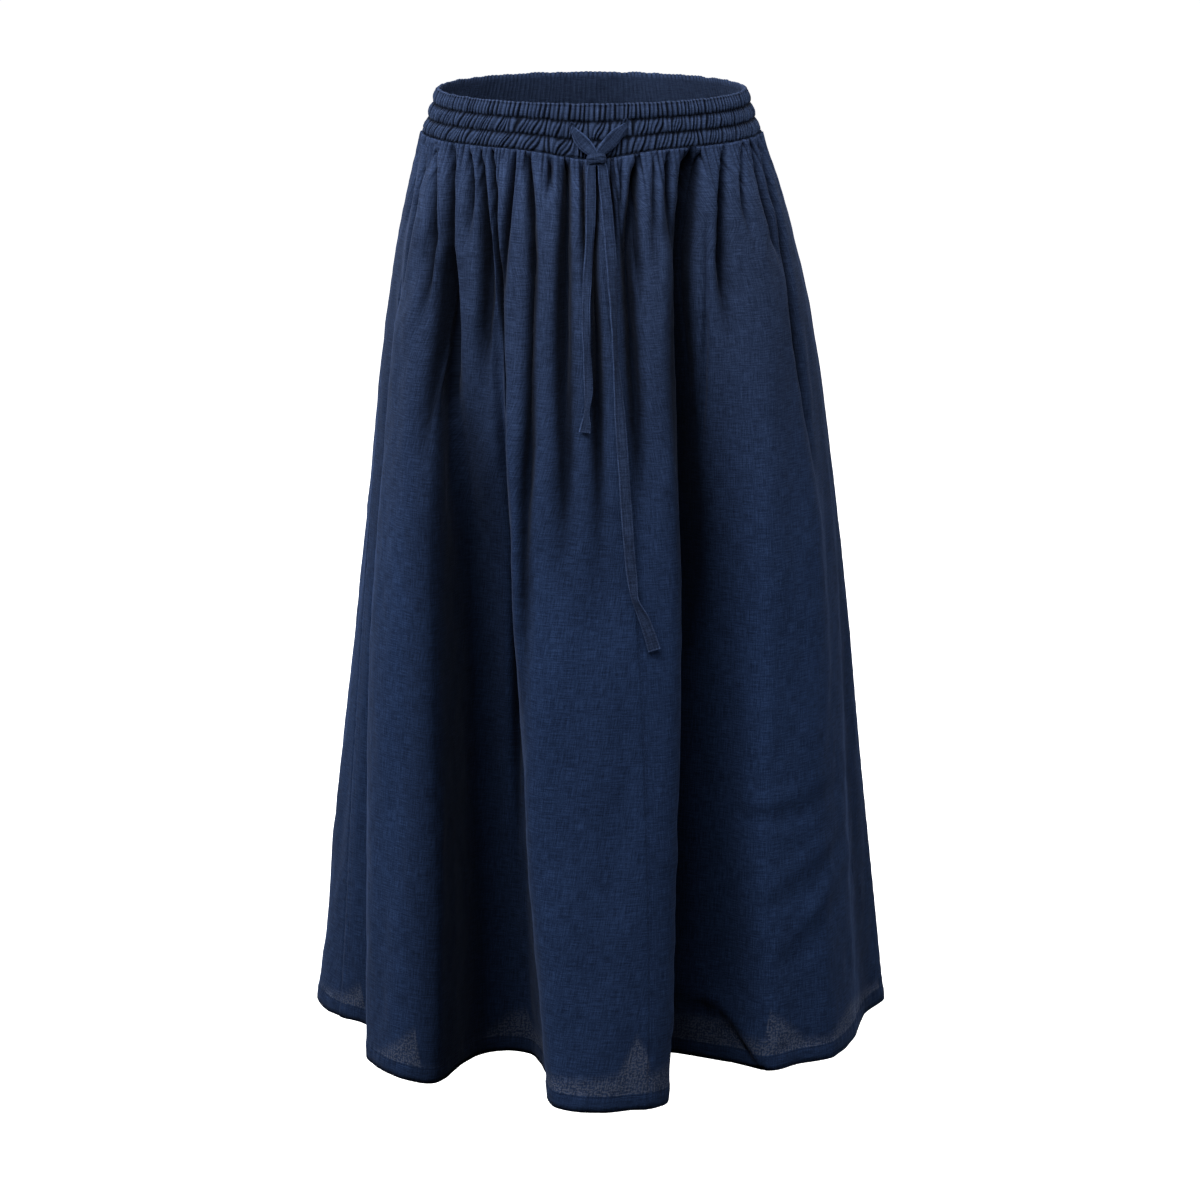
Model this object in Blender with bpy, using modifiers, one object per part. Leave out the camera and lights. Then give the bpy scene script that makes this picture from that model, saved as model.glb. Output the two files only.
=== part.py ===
"""Long gathered skirt with a three-channel elastic waistband and a flat front drawstring.

Metres, +Z up. The origin is the centre of the waistband at half its height. The
front faces -Y, and +X is to the right of someone looking at the front.
"""
import math
from collections import namedtuple

import bmesh
import bpy
import numpy as np

MM = 0.001
TURN = 360.0

# Overall form
BAND_HEIGHT = 45 * MM
BAND_TOP = BAND_HEIGHT / 2
SEAM = -BAND_HEIGHT / 2
HEM = -800 * MM
HALF_WAY = 0.5

# The smooth outline that the skirt hangs around, without its folds
Section = namedtuple("Section", "z half_width centre_x front back")
OUTLINE = [
    Section(22.5, 128.5, 0.0, 97.5, 97.5),
    Section(-22.5, 141.0, 0.0, 106.0, 108.0),
    Section(-60.0, 154.5, 2.0, 117.0, 123.0),
    Section(-110.0, 168.0, 4.0, 127.0, 139.0),
    Section(-175.0, 180.8, 6.5, 138.0, 153.0),
    Section(-280.0, 195.0, 8.5, 152.0, 169.0),
    Section(-420.0, 212.6, 9.1, 169.0, 185.0),
    Section(-570.0, 229.6, 8.6, 187.0, 199.0),
    Section(-720.0, 246.8, 9.3, 207.0, 212.0),
    Section(-820.0, 259.0, 9.0, 222.0, 222.0),
]

# The band sags to its full height where the tie pulls at the front and is shallower
# elsewhere: its lower seam rises by so many millimetres, and the cloth below with it.
SEAM_RISE_FRONT = 1.0
SEAM_RISE_ROUND = 7.2
SAG_ANGLE = 16.0
RISE_ENDS = -230 * MM

# A late fold line is held back at the top and lets go over this share of the drop.
LATE_FROM = 0.12
LATE_OVER = 0.30

# Fold lines that run from the band to the hem. Angles are in degrees from the
# centre front; each line stands out of the outline by so many millimetres.
Line = namedtuple("Line", "name seam_at mid_at mid_out hem_at hem_out late")
LINES = [
    Line("side_left", -101.0, -94.0, 0.4, -94.5, 1.0, 0.0),
    Line("left_side_seam", -90.0, -80.5, -3.0, -80.6, -19.4, 0.0),
    Line("side_left_valley", -78.0, -67.6, -9.5, -66.2, -41.0, 0.0),
    Line("left_edge", -68.5, -60.1, 13.6, -53.5, -5.0, 0.0),
    Line("left_face", -60.0, -46.5, 26.8, -41.4, 4.7, 0.0),
    Line("left_turn", -53.0, -37.6, 24.1, -33.9, -4.6, 0.5),
    Line("left_floor", -48.0, -38.8, -40.0, -33.4, -78.0, 1.0),
    Line("left_floor_end", -37.0, -26.0, -38.0, -19.5, -89.0, 1.0),
    Line("centre_left", -32.5, -22.9, -36.0, -13.1, -50.6, 0.5),
    Line("centre_corner", -29.0, -17.8, 17.1, -9.0, 13.1, 0.0),
    Line("centre", -13.0, -3.7, 25.4, 0.2, 25.0, 0.0),
    Line("front_seam", 0.0, 7.6, 23.7, 8.0, 21.3, 0.0),
    Line("right_crest", 17.0, 14.2, 21.5, 11.2, 10.0, 0.0),
    Line("right_corner", 21.0, 16.7, 12.0, 12.8, -4.3, 0.0),
    Line("right_floor", 29.5, 21.2, -50.0, 15.6, -95.0, 0.0),
    Line("right_floor_end", 40.0, 31.5, -22.0, 32.7, -57.5, 0.0),
    Line("right_tuck", 52.0, 38.8, 3.8, 37.8, -24.1, 0.0),
    Line("right_face", 60.0, 47.1, 7.5, 45.6, -20.1, 0.0),
    Line("right_turn", 68.0, 56.1, 6.9, 53.7, -8.6, 0.0),
    Line("right_edge", 76.0, 68.4, 0.4, 66.5, -16.5, 0.0),
    Line("side_right_valley", 83.0, 80.1, -4.4, 81.1, -22.2, 0.0),
    Line("right_side_seam", 92.0, 93.1, -0.1, 93.7, -2.4, 0.0),
    Line("back_valley_1", 106.0, 107.0, -8.0, 108.0, -24.0, 0.0),
    Line("back_crest_1", 121.0, 122.0, 8.0, 122.0, 16.0, 0.0),
    Line("back_valley_2", 136.0, 138.0, -10.0, 138.0, -30.0, 0.0),
    Line("back_crest_2", 151.0, 152.0, 10.0, 153.0, 22.0, 0.0),
    Line("back_valley_3", 166.0, 168.0, -12.0, 168.0, -32.0, 0.0),
    Line("back_crest_3", 182.0, 183.0, 10.0, 184.0, 20.0, 0.0),
    Line("back_valley_4", 198.0, 198.0, -12.0, 199.0, -34.0, 0.0),
    Line("back_crest_4", 213.0, 214.0, 10.0, 214.0, 20.0, 0.0),
    Line("back_valley_5", 228.0, 229.0, -10.0, 230.0, -30.0, 0.0),
    Line("back_crest_5", 240.0, 243.0, 8.0, 243.0, 16.0, 0.0),
    Line("back_valley_6", 250.0, 254.5, -6.0, 254.5, -20.0, 0.0),
]

# Gathers that start at the band seam and fade out further down: the angle of each
# valley at the seam and at its lower end, how far down it drifts from the one to the
# other, its length, depth and half width.
Gather = namedtuple("Gather", "seam_at end_at run length deep half_width")
FRONT_GATHERS = [
    Gather(-80.0, -69.0, 80, 140, 10.8, 2.6),
    Gather(-65.0, -54.0, 110, 170, 12.0, 2.6),
    Gather(-53.5, -44.4, 160, 440, 13.2, 3.1),
    Gather(-40.5, -32.6, 130, 220, 10.8, 2.2),
    Gather(-35.0, -23.5, 300, 680, 12.0, 2.2),
    Gather(-26.0, -26.6, 100, 180, 8.4, 2.2),
    Gather(-21.8, -17.4, 110, 580, 8.4, 2.3),
    Gather(-8.4, -8.6, 200, 400, 10.8, 2.8),
    Gather(-3.0, -3.2, 90, 130, 6.6, 2.2),
    Gather(2.2, -0.8, 110, 390, 9.6, 2.2),
    Gather(16.0, 8.3, 100, 340, 10.2, 2.6),
    Gather(14.8, 11.6, 90, 150, 6.6, 2.2),
    Gather(35.6, 24.2, 180, 480, 13.2, 5.1),
    Gather(40.0, 30.0, 150, 380, 7.2, 2.2),
    Gather(50.5, 38.0, 120, 180, 9.0, 2.3),
    Gather(79.5, 62.5, 200, 320, 10.2, 2.7),
]
BACK_GATHERS = 20
BACK_GATHER_FROM = 90.0
BACK_GATHER_TO = 270.0

# Cloth
WALL = 1.4 * MM
HEM_WALL = 2.2 * MM
HEM_STRIP = 14 * MM
HEM_TOP = 1 - HEM_STRIP / (SEAM - HEM)
SEAM_GAP = 0.3 * MM
EDGE_CLEAR = 0.22 * MM
FRONT_COLUMNS = 48
BACK_COLUMNS = 64
ROWS_DOWN = [0.0, 0.012, 0.032, 0.058, 0.092, 0.135, 0.185, 0.245, 0.315, 0.395,
             0.485, 0.585, 0.69, 0.79, 0.89, 0.965, HEM_TOP, 1.0]

# Waistband
RIBS = 112
RIB_LEAN = 1.1
INNER_STEP = 2
Ring = namedtuple("Ring", "z out rib lean")
BAND_RINGS = [
    Ring(22.5, 0.3, 0.6, 0.0),
    Ring(18.0, 1.3, 0.9, 0.0),
    Ring(12.0, 1.1, 0.9, 0.0),
    Ring(7.5, -0.8, 0.3, 0.0),
    Ring(3.7, 1.3, 0.9, 0.3),
    Ring(-3.7, 1.3, 0.9, 0.7),
    Ring(-7.5, -0.8, 0.3, 1.0),
    Ring(-11.3, 1.3, 0.9, 1.3),
    Ring(-18.5, 1.2, 0.9, 1.7),
    Ring(-22.2, -0.2, 0.5, 2.0),
]
BAND_INSIDE = -2.4 * MM

# Drawstring
TIE_WIDTH = 9 * MM
TIE_THICK = 1.5 * MM
Knot = namedtuple("Knot", "x z half_x half_y half_z tilt off")
KNOT = Knot(4.2, -20.5, 9.4, 3.8, 4.4, 3.0, 1.2)
KNOT_LEVEL = -24.0
Stop = namedtuple("Stop", "x z width turn off")
LEFT_STRAND = [
    Stop(-14.5, 4.0, 6.0, 42.0, 0.7),
    Stop(-10.0, -2.0, 8.5, 38.0, 2.4),
    Stop(-4.5, -8.8, 9.0, 35.0, 3.6),
    Stop(0.5, -14.9, 9.0, 30.0, 4.2),
]
RIGHT_STRAND = [
    Stop(26.5, 6.0, 8.0, -44.0, 0.5),
    Stop(21.0, 0.4, 9.0, -43.0, 2.4),
    Stop(14.5, -7.0, 9.0, -42.0, 3.6),
    Stop(8.7, -13.9, 9.0, -38.0, 4.2),
]
LEFT_TAIL = [
    Stop(0.2, -24.5, 7.0, 0.0, 5.0),
    Stop(-0.4, -50.0, 8.0, 1.0, 2.2),
    Stop(-1.6, -90.0, 8.0, -2.0, 1.8),
    Stop(-3.8, -130.0, 7.5, -3.0, 1.8),
    Stop(-4.0, -165.0, 7.0, 2.0, 1.8),
    Stop(-2.6, -200.0, 7.5, 1.0, 1.8),
    Stop(-3.4, -219.0, 5.5, 0.0, 2.2),
    Stop(-5.2, -236.0, 9.0, -10.0, 1.8),
]
RIGHT_TAIL = [
    Stop(8.6, -24.5, 8.0, 0.0, 5.0),
    Stop(12.0, -54.0, 9.0, -6.0, 2.2),
    Stop(16.4, -101.0, 8.5, -4.0, 1.8),
    Stop(18.4, -150.0, 7.0, -3.0, 1.8),
    Stop(21.2, -200.0, 7.0, -4.0, 1.8),
    Stop(25.0, -250.0, 9.0, -4.0, 1.8),
    Stop(28.8, -300.0, 9.0, -5.0, 1.8),
    Stop(32.6, -350.0, 8.5, -8.0, 1.8),
    Stop(36.0, -370.0, 7.5, -20.0, 2.2),
    Stop(43.0, -384.0, 9.0, -16.0, 1.8),
    Stop(51.0, -414.0, 10.0, -14.0, 1.8),
]

COLLECTION = "drawstring_skirt"
Look = namedtuple("Look", "red green blue rough")
LOOKS = {
    "waistband_linen": Look(0.0135, 0.0220, 0.0480, 0.88),
    "skirt_linen": Look(0.0150, 0.0250, 0.0560, 0.85),
    "skirt_linen_back": Look(0.0145, 0.0240, 0.0540, 0.86),
    "tie_linen": Look(0.0170, 0.0270, 0.0560, 0.84),
}


def curve(knots, values, at):
    """Smooth curve through the values at the knots, one knot spare at each end."""
    knots = np.asarray(knots, float)
    values = np.asarray(values, float)
    at = np.asarray(at, float)
    i = np.clip(np.searchsorted(knots, at, side="right") - 1, 1, len(knots) - 3)
    before, left, right, after = knots[i - 1], knots[i], knots[i + 1], knots[i + 2]
    a, b, c, d = values[i - 1], values[i], values[i + 1], values[i + 2]
    span = right - left
    t = (at - left) / span
    slope_left = (c - a) / (right - before) * span
    slope_right = (d - b) / (after - left) * span
    rise = 3 * t ** 2 - 2 * t ** 3
    return (b + (c - b) * rise + (t ** 3 - 2 * t ** 2 + t) * slope_left
            + (t ** 3 - t ** 2) * slope_right)


def padded(values):
    return [2 * values[0] - values[1]] + list(values) + [2 * values[-1] - values[-2]]


def ease(t):
    t = np.clip(t, 0, 1)
    return t * t * (3 - 2 * t)


def outline(z):
    """Half width, centre, front depth and back depth of the smooth form at a height."""
    heights = padded([-row.z * MM for row in OUTLINE])
    found = []
    for name in ("half_width", "centre_x", "front", "back"):
        values = padded([getattr(row, name) * MM for row in OUTLINE])
        found.append(curve(heights, values, -np.asarray(z, float)))
    return found


def rise(angle, z):
    """How far the lower seam's rise lifts a place: all of it at the seam, none at the rim."""
    apart = (angle + TURN / 2) % TURN - TURN / 2
    full = (SEAM_RISE_FRONT + SEAM_RISE_ROUND * (1 - np.exp(-(apart / SAG_ANGLE) ** 2))) * MM
    above = np.clip((BAND_TOP - z) / BAND_HEIGHT, 0, 1)
    below = ease((z - RISE_ENDS) / (SEAM - RISE_ENDS))
    return full * np.where(z > SEAM, above, below)


def around(angle, z, out=0.0):
    """Points round the smooth form, moved out along its level normal, and that normal."""
    turn = np.radians(angle)
    half_width, centre, front, back = outline(z)
    depth = np.where(np.cos(turn) > 0, front, back)
    x = centre + half_width * np.sin(turn)
    y = -depth * np.cos(turn)
    across = np.sin(turn) / half_width
    along = -np.cos(turn) / depth
    size = np.hypot(across, along)
    across, along = across / size, along / size
    point = np.stack([x + across * out, y + along * out, z + 0 * x + rise(angle, z)], -1)
    return point, np.stack([across, along, 0 * across], -1)


def line_knots():
    """Where each fold line lies round the cloth: its share of the girth, from the lower half."""
    seam_at, mid_at, mid_out, hem_at, hem_out, late = table_of_lines()
    mid = SEAM + (HEM - SEAM) * HALF_WAY
    steps = 0
    for angle, out, z in ((mid_at, mid_out, mid), (hem_at, hem_out, HEM)):
        point, _ = around(angle, np.full(len(angle), z), out)
        ring = np.vstack([point, point[:1]])
        steps = steps + np.linalg.norm(np.diff(ring, axis=0), axis=1)
    knots = np.concatenate([[0], np.cumsum(steps)])
    return knots / knots[-1]


def table_of_lines():
    rows = np.array([row[1:] for row in LINES], float).T
    seam_at, mid_at, mid_out, hem_at, hem_out, late = rows
    return seam_at, mid_at, mid_out * MM, hem_at, hem_out * MM, late


KNOTS = line_knots()
PLACE = {row.name: knot for row, knot in zip(LINES, KNOTS)}


def along_lines(place):
    """The six fold line values at places round the cloth, 0 to 1 and on past a full turn."""
    place = np.asarray(place, float)
    laps = np.floor(place)
    within = place - laps
    knots = np.concatenate([KNOTS[-4:-1] - 1, KNOTS, KNOTS[1:4] + 1])
    found = []
    for turns, values in zip((TURN, TURN, 0, TURN, 0, 0), table_of_lines()):
        ring = np.concatenate([values[-3:] - turns, values, values[:1] + turns, values[1:4] + turns])
        found.append(curve(knots, ring, within) + laps * turns)
    return found


def all_gathers():
    """The front gathers as read, and the same kind spread over the back."""
    rows = list(FRONT_GATHERS)
    pitch = (BACK_GATHER_TO - BACK_GATHER_FROM) / BACK_GATHERS
    for i in range(BACK_GATHERS):
        at = BACK_GATHER_FROM + pitch * (i + 0.5) + 1.6 * math.sin(2.3 * i)
        length = 170 + 70 * math.sin(1.9 * i + 0.6)
        deep = 6.0 + 1.8 * math.sin(2.7 * i + 1.1)
        rows.append(Gather(at, at + 1.2 * math.sin(1.3 * i), length, length, deep, 3.3))
    return rows


GATHERS = all_gathers()


def gather_depth(angle, z):
    """How far the gathers sink the cloth at this angle and height."""
    down = SEAM - z
    sunk = 0
    for row in GATHERS:
        share = np.clip(down / (row.length * MM), 0, 1)
        swing = 1 - (1 - np.clip(down / (row.run * MM), 0, 1)) ** 2
        centre = row.seam_at + (row.end_at - row.seam_at) * swing
        apart = (angle - centre + TURN / 2) % TURN - TURN / 2
        profile = np.exp(-(apart / (row.half_width * (0.75 + 0.5 * share))) ** 2)
        growth = 0.25 + 0.75 * ease(down / (22 * MM))
        fading = 1 - ease((share - 0.3) / 0.7)
        sunk = sunk + row.deep * MM * profile * growth * fading
    return sunk


def skirt(place, down):
    """A point of the cloth's middle: place round it, and 0 at the band to 1 at the hem."""
    place, down = np.broadcast_arrays(np.asarray(place, float), np.asarray(down, float))
    seam_at, mid_at, mid_out, hem_at, hem_out, late = along_lines(place)
    at_seam = (1 - down) * (1 - 2 * down)
    at_mid = 4 * down * (1 - down)
    at_hem = down * (2 * down - 1)
    angle = seam_at * at_seam + mid_at * at_mid + hem_at * at_hem
    z = SEAM - SEAM_GAP + (HEM - SEAM + SEAM_GAP) * down
    held = 1 - np.clip(late, 0, 1) * (1 - ease((down - LATE_FROM) / LATE_OVER))
    fold = (mid_out * at_mid + hem_out * at_hem) * held
    out = fold - gather_depth(angle, z) + 1.2 * MM * (1 - ease(down / 0.04))
    return around(angle, z, out)[0]


def skirt_normal(place, down):
    """Unit normal of the cloth, away from the body."""
    step = 2e-4
    place, down = np.broadcast_arrays(np.asarray(place, float), np.asarray(down, float))
    low = np.clip(down - step, 0, 1)
    high = np.clip(down + step, 0, 1)
    sideways = skirt(place + step, down) - skirt(place - step, down)
    downwards = skirt(place, high) - skirt(place, low)
    return unit(np.cross(downwards, sideways))


def unit(vectors):
    return vectors / np.linalg.norm(vectors, axis=-1, keepdims=True)


def level(vectors, normals):
    """The part of each vector that lies in the cloth."""
    return vectors - normals * np.sum(vectors * normals, axis=-1, keepdims=True)


def columns(start, stop, count):
    """Places spaced halfway between even steps of the gathers and even steps of the hem."""
    fine = np.linspace(start, stop, 2000)
    top = along_lines(fine)[0]
    top_share = (top - top[0]) / (top[-1] - top[0])
    hem_share = (fine - start) / (stop - start)
    return np.interp(np.linspace(0, 1, count + 1), 0.6 * top_share + 0.4 * hem_share, fine)


def add_object(name, points, faces, look):
    mesh = bpy.data.meshes.new(name)
    mesh.from_pydata([tuple(point) for point in points], [], [tuple(face) for face in faces])
    mesh.validate()
    mesh.update()
    thing = bpy.data.objects.new(name, mesh)
    mesh.materials.append(MATERIALS[look])
    GROUP.objects.link(thing)
    for polygon in mesh.polygons:
        polygon.use_smooth = True
    return thing


def solidify(thing, thickness, group=""):
    """Give an open surface its cloth thickness, half to each side."""
    shell = thing.modifiers.new("Cloth", "SOLIDIFY")
    shell.thickness = thickness
    shell.offset = 0.0
    shell.use_rim = True
    shell.vertex_group = group
    return shell


def panel(name, start, stop, count, look):
    """One cut of the skirt: a lofted surface, pulled in from its side seams, with a thicker hem."""
    place = columns(start, stop, count)
    grid_place, grid_down = np.meshgrid(place, np.array(ROWS_DOWN), indexing="ij")
    middle = skirt(grid_place, grid_down)
    normal = skirt_normal(grid_place, grid_down)
    for edge, inner in ((0, 1), (-1, -2)):
        beyond = skirt(2 * grid_place[edge] - grid_place[inner], grid_down[edge])
        inward = unit(level(middle[inner] - middle[edge], normal[edge]))
        bend = np.cross(unit(middle[inner] - middle[edge]), unit(beyond - middle[edge]))
        bend = np.linalg.norm(bend, axis=-1, keepdims=True)
        middle[edge] = middle[edge] + inward * (EDGE_CLEAR + HEM_WALL / 2 * bend)
    across, deep = grid_place.shape
    faces = []
    for i in range(across - 1):
        for j in range(deep - 1):
            corner = i * deep + j
            faces.append((corner, corner + 1, corner + deep + 1, corner + deep))
    thing = add_object(name, middle.reshape(-1, 3), faces, look)
    hem = thing.vertex_groups.new(name="thickness")
    for i in range(across):
        for j in range(deep):
            turned_up = ROWS_DOWN[j] > HEM_TOP - 1e-6
            hem.add([i * deep + j], 1.0 if turned_up else WALL / HEM_WALL, "REPLACE")
    solidify(thing, HEM_WALL, "thickness")
    return thing


def waistband():
    """A ring of three ribbed channels over a plain inside."""
    steps = RIBS * 2
    angle = np.arange(steps) * TURN / steps
    raised = np.where(np.arange(steps) % 2 == 0, 1.0, -1.0)
    rings = []
    for row in BAND_RINGS:
        side = -np.sin(np.radians(angle))
        lean = row.lean * RIB_LEAN * (0.5 + 0.5 * side)
        out = (row.out + row.rib * raised) * MM
        rings.append(around(angle - lean, np.full(steps, row.z * MM), out)[0])
    few = steps // INNER_STEP
    inner_angle = np.arange(few) * TURN / few
    top_z, foot_z = BAND_RINGS[0].z * MM, BAND_RINGS[-1].z * MM
    foot_lean = BAND_RINGS[-1].lean * RIB_LEAN * (0.5 - 0.5 * np.sin(np.radians(inner_angle)))
    inner_top = around(inner_angle, np.full(few, top_z), BAND_INSIDE)[0]
    inner_foot = around(inner_angle - foot_lean, np.full(few, foot_z), BAND_INSIDE)[0]
    points = np.concatenate(rings + [inner_top, inner_foot])
    top_start = steps * len(BAND_RINGS)
    foot_start = top_start + few
    faces = []
    for j in range(len(BAND_RINGS) - 1):
        for i in range(steps):
            k = (i + 1) % steps
            faces.append((j * steps + i, (j + 1) * steps + i, (j + 1) * steps + k, j * steps + k))
    last = (len(BAND_RINGS) - 1) * steps
    for i in range(few):
        k = (i + 1) % few
        faces.append((top_start + i, top_start + k, foot_start + k, foot_start + i))
        a, b, c = INNER_STEP * i, INNER_STEP * i + 1, (INNER_STEP * i + 2) % steps
        faces.append((top_start + i, a, b))
        faces.append((top_start + i, b, top_start + k))
        faces.append((b, c, top_start + k))
        faces.append((foot_start + i, last + b, last + a))
        faces.append((foot_start + i, foot_start + k, last + b))
        faces.append((last + b, foot_start + k, last + c))
    return add_object("waistband", points, faces, "waistband_linen")


def front_of(x, z):
    """How far forward the cloth or the band comes at a place on the front."""
    if z > SEAM:
        angle = math.degrees(math.asin(x / 0.135))
        return float(around(np.array([angle]), np.array([z]), 2.2 * MM)[0][0, 1])
    down = (z - SEAM) / (HEM - SEAM)
    place = np.linspace(PLACE["left_floor_end"], PLACE["right_floor"], 900)
    row = skirt(place, np.full(place.shape, down))
    near = np.abs(row[:, 0] - x) < 0.8 * MM
    return float(row[near, 1].min()) - WALL / 2


def ribbon(name, stops):
    """A flat strip that follows the stops down the front."""
    left, right = [], []
    for stop in stops:
        x, z, half = stop.x * MM, stop.z * MM, stop.width * MM / 2
        turn = math.radians(stop.turn)
        reach = half * math.cos(turn)
        y = min(front_of(x - reach, z), front_of(x, z), front_of(x + reach, z))
        y = y - stop.off * MM - TIE_THICK / 2
        left.append((x - reach, y, z - half * math.sin(turn)))
        right.append((x + reach, y, z + half * math.sin(turn)))
    count = len(stops)
    faces = [(i, i + 1, count + i + 1, count + i) for i in range(count - 1)]
    thing = add_object(name, left + right, faces, "tie_linen")
    solidify(thing, TIE_THICK)
    return thing


def knot():
    """The flat overhand knot, a rounded bar lying across the foot of the V."""
    cage = bmesh.new()
    bmesh.ops.create_cube(cage, size=2.0)
    bmesh.ops.scale(cage, vec=(KNOT.half_x * MM, KNOT.half_y * MM, KNOT.half_z * MM), verts=cage.verts)
    mesh = bpy.data.meshes.new("tie_knot")
    cage.to_mesh(mesh)
    cage.free()
    mesh.materials.append(MATERIALS["tie_linen"])
    mesh.shade_smooth()
    thing = bpy.data.objects.new("tie_knot", mesh)
    GROUP.objects.link(thing)
    y = front_of(KNOT.x * MM, KNOT_LEVEL * MM) - (KNOT.half_y + KNOT.off) * MM
    thing.location = (KNOT.x * MM, y, KNOT.z * MM)
    thing.rotation_euler = (0.0, math.radians(-KNOT.tilt), 0.0)
    corners = thing.modifiers.new("Corners", "BEVEL")
    corners.width = KNOT.half_z * 0.55 * MM
    corners.segments = 1
    soft = thing.modifiers.new("Soft", "SUBSURF")
    soft.levels = 1
    soft.render_levels = 1
    return thing


def make_materials():
    made = {}
    for name, look in LOOKS.items():
        material = bpy.data.materials.new(name)
        material.use_nodes = True
        shader = material.node_tree.nodes["Principled BSDF"]
        shader.inputs["Base Color"].default_value = (look.red, look.green, look.blue, 1.0)
        shader.inputs["Roughness"].default_value = look.rough
        material.diffuse_color = (look.red, look.green, look.blue, 1.0)
        made[name] = material
    return made


for leftover in list(bpy.data.objects):
    bpy.data.objects.remove(leftover, do_unlink=True)
GROUP = bpy.data.collections.new(COLLECTION)
bpy.context.scene.collection.children.link(GROUP)
MATERIALS = make_materials()

LEFT, FRONT, RIGHT = PLACE["left_side_seam"], PLACE["front_seam"], PLACE["right_side_seam"]
waistband()
panel("front_panel_left", LEFT, FRONT, FRONT_COLUMNS, "skirt_linen")
panel("front_panel_right", FRONT, RIGHT, FRONT_COLUMNS, "skirt_linen")
panel("back_panel", RIGHT, LEFT + 1, BACK_COLUMNS, "skirt_linen_back")
ribbon("tie_strand_left", LEFT_STRAND)
ribbon("tie_strand_right", RIGHT_STRAND)
knot()
ribbon("tie_tail_left", LEFT_TAIL)
ribbon("tie_tail_right", RIGHT_TAIL)
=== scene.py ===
"""The looks of the drawstring skirt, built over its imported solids. Metres, +Z up, front at -Y."""
import math
from collections import namedtuple

import bpy
import numpy as np
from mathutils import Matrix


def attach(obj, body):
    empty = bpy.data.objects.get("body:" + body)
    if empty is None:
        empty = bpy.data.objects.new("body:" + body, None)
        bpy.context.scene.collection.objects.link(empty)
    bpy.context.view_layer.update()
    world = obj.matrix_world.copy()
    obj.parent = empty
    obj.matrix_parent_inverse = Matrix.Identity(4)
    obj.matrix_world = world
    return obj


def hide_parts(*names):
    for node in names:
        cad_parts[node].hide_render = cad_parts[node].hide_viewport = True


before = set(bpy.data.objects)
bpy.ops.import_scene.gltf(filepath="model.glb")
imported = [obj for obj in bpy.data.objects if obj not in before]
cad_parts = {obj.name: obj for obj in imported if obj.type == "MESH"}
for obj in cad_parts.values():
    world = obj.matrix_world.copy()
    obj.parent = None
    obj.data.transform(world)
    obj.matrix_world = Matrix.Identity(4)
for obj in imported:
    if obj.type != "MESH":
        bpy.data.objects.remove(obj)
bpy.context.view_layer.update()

MM = 0.001
TURN = 360.0


def add_object(name, data):
    made = bpy.data.objects.new(name, data)
    bpy.context.scene.collection.objects.link(made)
    return made


# -------- camera, floor and light
CAMERA_AT = (0.007, -3.1, 0.45)
CAMERA_PITCH = 15.75
CAMERA_LENS = 110.9
FLOOR = -1.03
FLOOR_REACH = 45.0


def make_camera():
    data = bpy.data.cameras.new("camera")
    data.lens = CAMERA_LENS
    data.sensor_width = 36.0
    data.clip_end = 200.0
    camera = add_object("camera", data)
    camera.location = CAMERA_AT
    camera.rotation_euler = (math.radians(90 - CAMERA_PITCH), 0, 0)
    bpy.context.scene.camera = camera


# Soft boxes: where each stands round the skirt (0 in front, -90 to the viewer's left)
Lamp = namedtuple("Lamp", "name turn rise away size power")
LAMPS = [
    Lamp("left_side", -76, 20, 3.2, 1.6, 30),
    Lamp("key", -44, 56, 2.9, 1.2, 64),
    Lamp("front_left", -12, 52, 3, 1.3, 30),
    Lamp("front_right", 22, 50, 3.1, 1.3, 20),
    Lamp("right_side", 66, 16, 3.4, 1.6, 28),
    Lamp("back_left", -140, 35, 3.4, 2, 62),
    Lamp("back_right", 145, 35, 3.4, 2, 44),
]
LAMP_AIM = (0.0, 0.0, -0.36)


def make_lights():
    world = bpy.data.worlds.new("studio")
    world.use_nodes = True
    back = world.node_tree.nodes["Background"]
    back.inputs["Color"].default_value = (1.0, 1.0, 1.0, 1.0)
    back.inputs["Strength"].default_value = 1.0
    world.cycles_visibility.diffuse = False
    world.cycles_visibility.glossy = False
    bpy.context.scene.world = world
    for lamp in LAMPS:
        data = bpy.data.lights.new(lamp.name, "AREA")
        data.shape = "DISK"
        data.size = lamp.size
        data.energy = lamp.power
        light = add_object(lamp.name, data)
        turn, rise = math.radians(lamp.turn), math.radians(lamp.rise)
        light.location = (LAMP_AIM[0] + lamp.away * math.cos(rise) * math.sin(turn),
                          LAMP_AIM[1] - lamp.away * math.cos(rise) * math.cos(turn),
                          LAMP_AIM[2] + lamp.away * math.sin(rise))
        light.rotation_euler = (math.pi / 2 - rise, 0.0, turn)


def make_floor():
    mesh = bpy.data.meshes.new("floor")
    corners = [(x * FLOOR_REACH, y * FLOOR_REACH, FLOOR) for x, y in ((-1, -1), (1, -1), (1, 1), (-1, 1))]
    mesh.from_pydata(corners, [], [(0, 1, 2, 3)])
    floor = add_object("floor", mesh)
    floor.visible_diffuse = False
    floor.visible_glossy = False
    pale = bpy.data.materials.new("pale_floor")
    pale.use_nodes = True
    shader = pale.node_tree.nodes["Principled BSDF"]
    shader.inputs["Base Color"].default_value = (0.92, 0.92, 0.92, 1.0)
    shader.inputs["Roughness"].default_value = 0.95
    shader.inputs["Specular IOR Level"].default_value = 0.1
    shader.inputs["Emission Color"].default_value = (1.0, 1.0, 1.0, 1.0)
    shader.inputs["Emission Strength"].default_value = 1.0
    mesh.materials.append(pale)


make_camera()
make_lights()
make_floor()
bpy.context.scene.view_settings.view_transform = "Standard"

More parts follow.
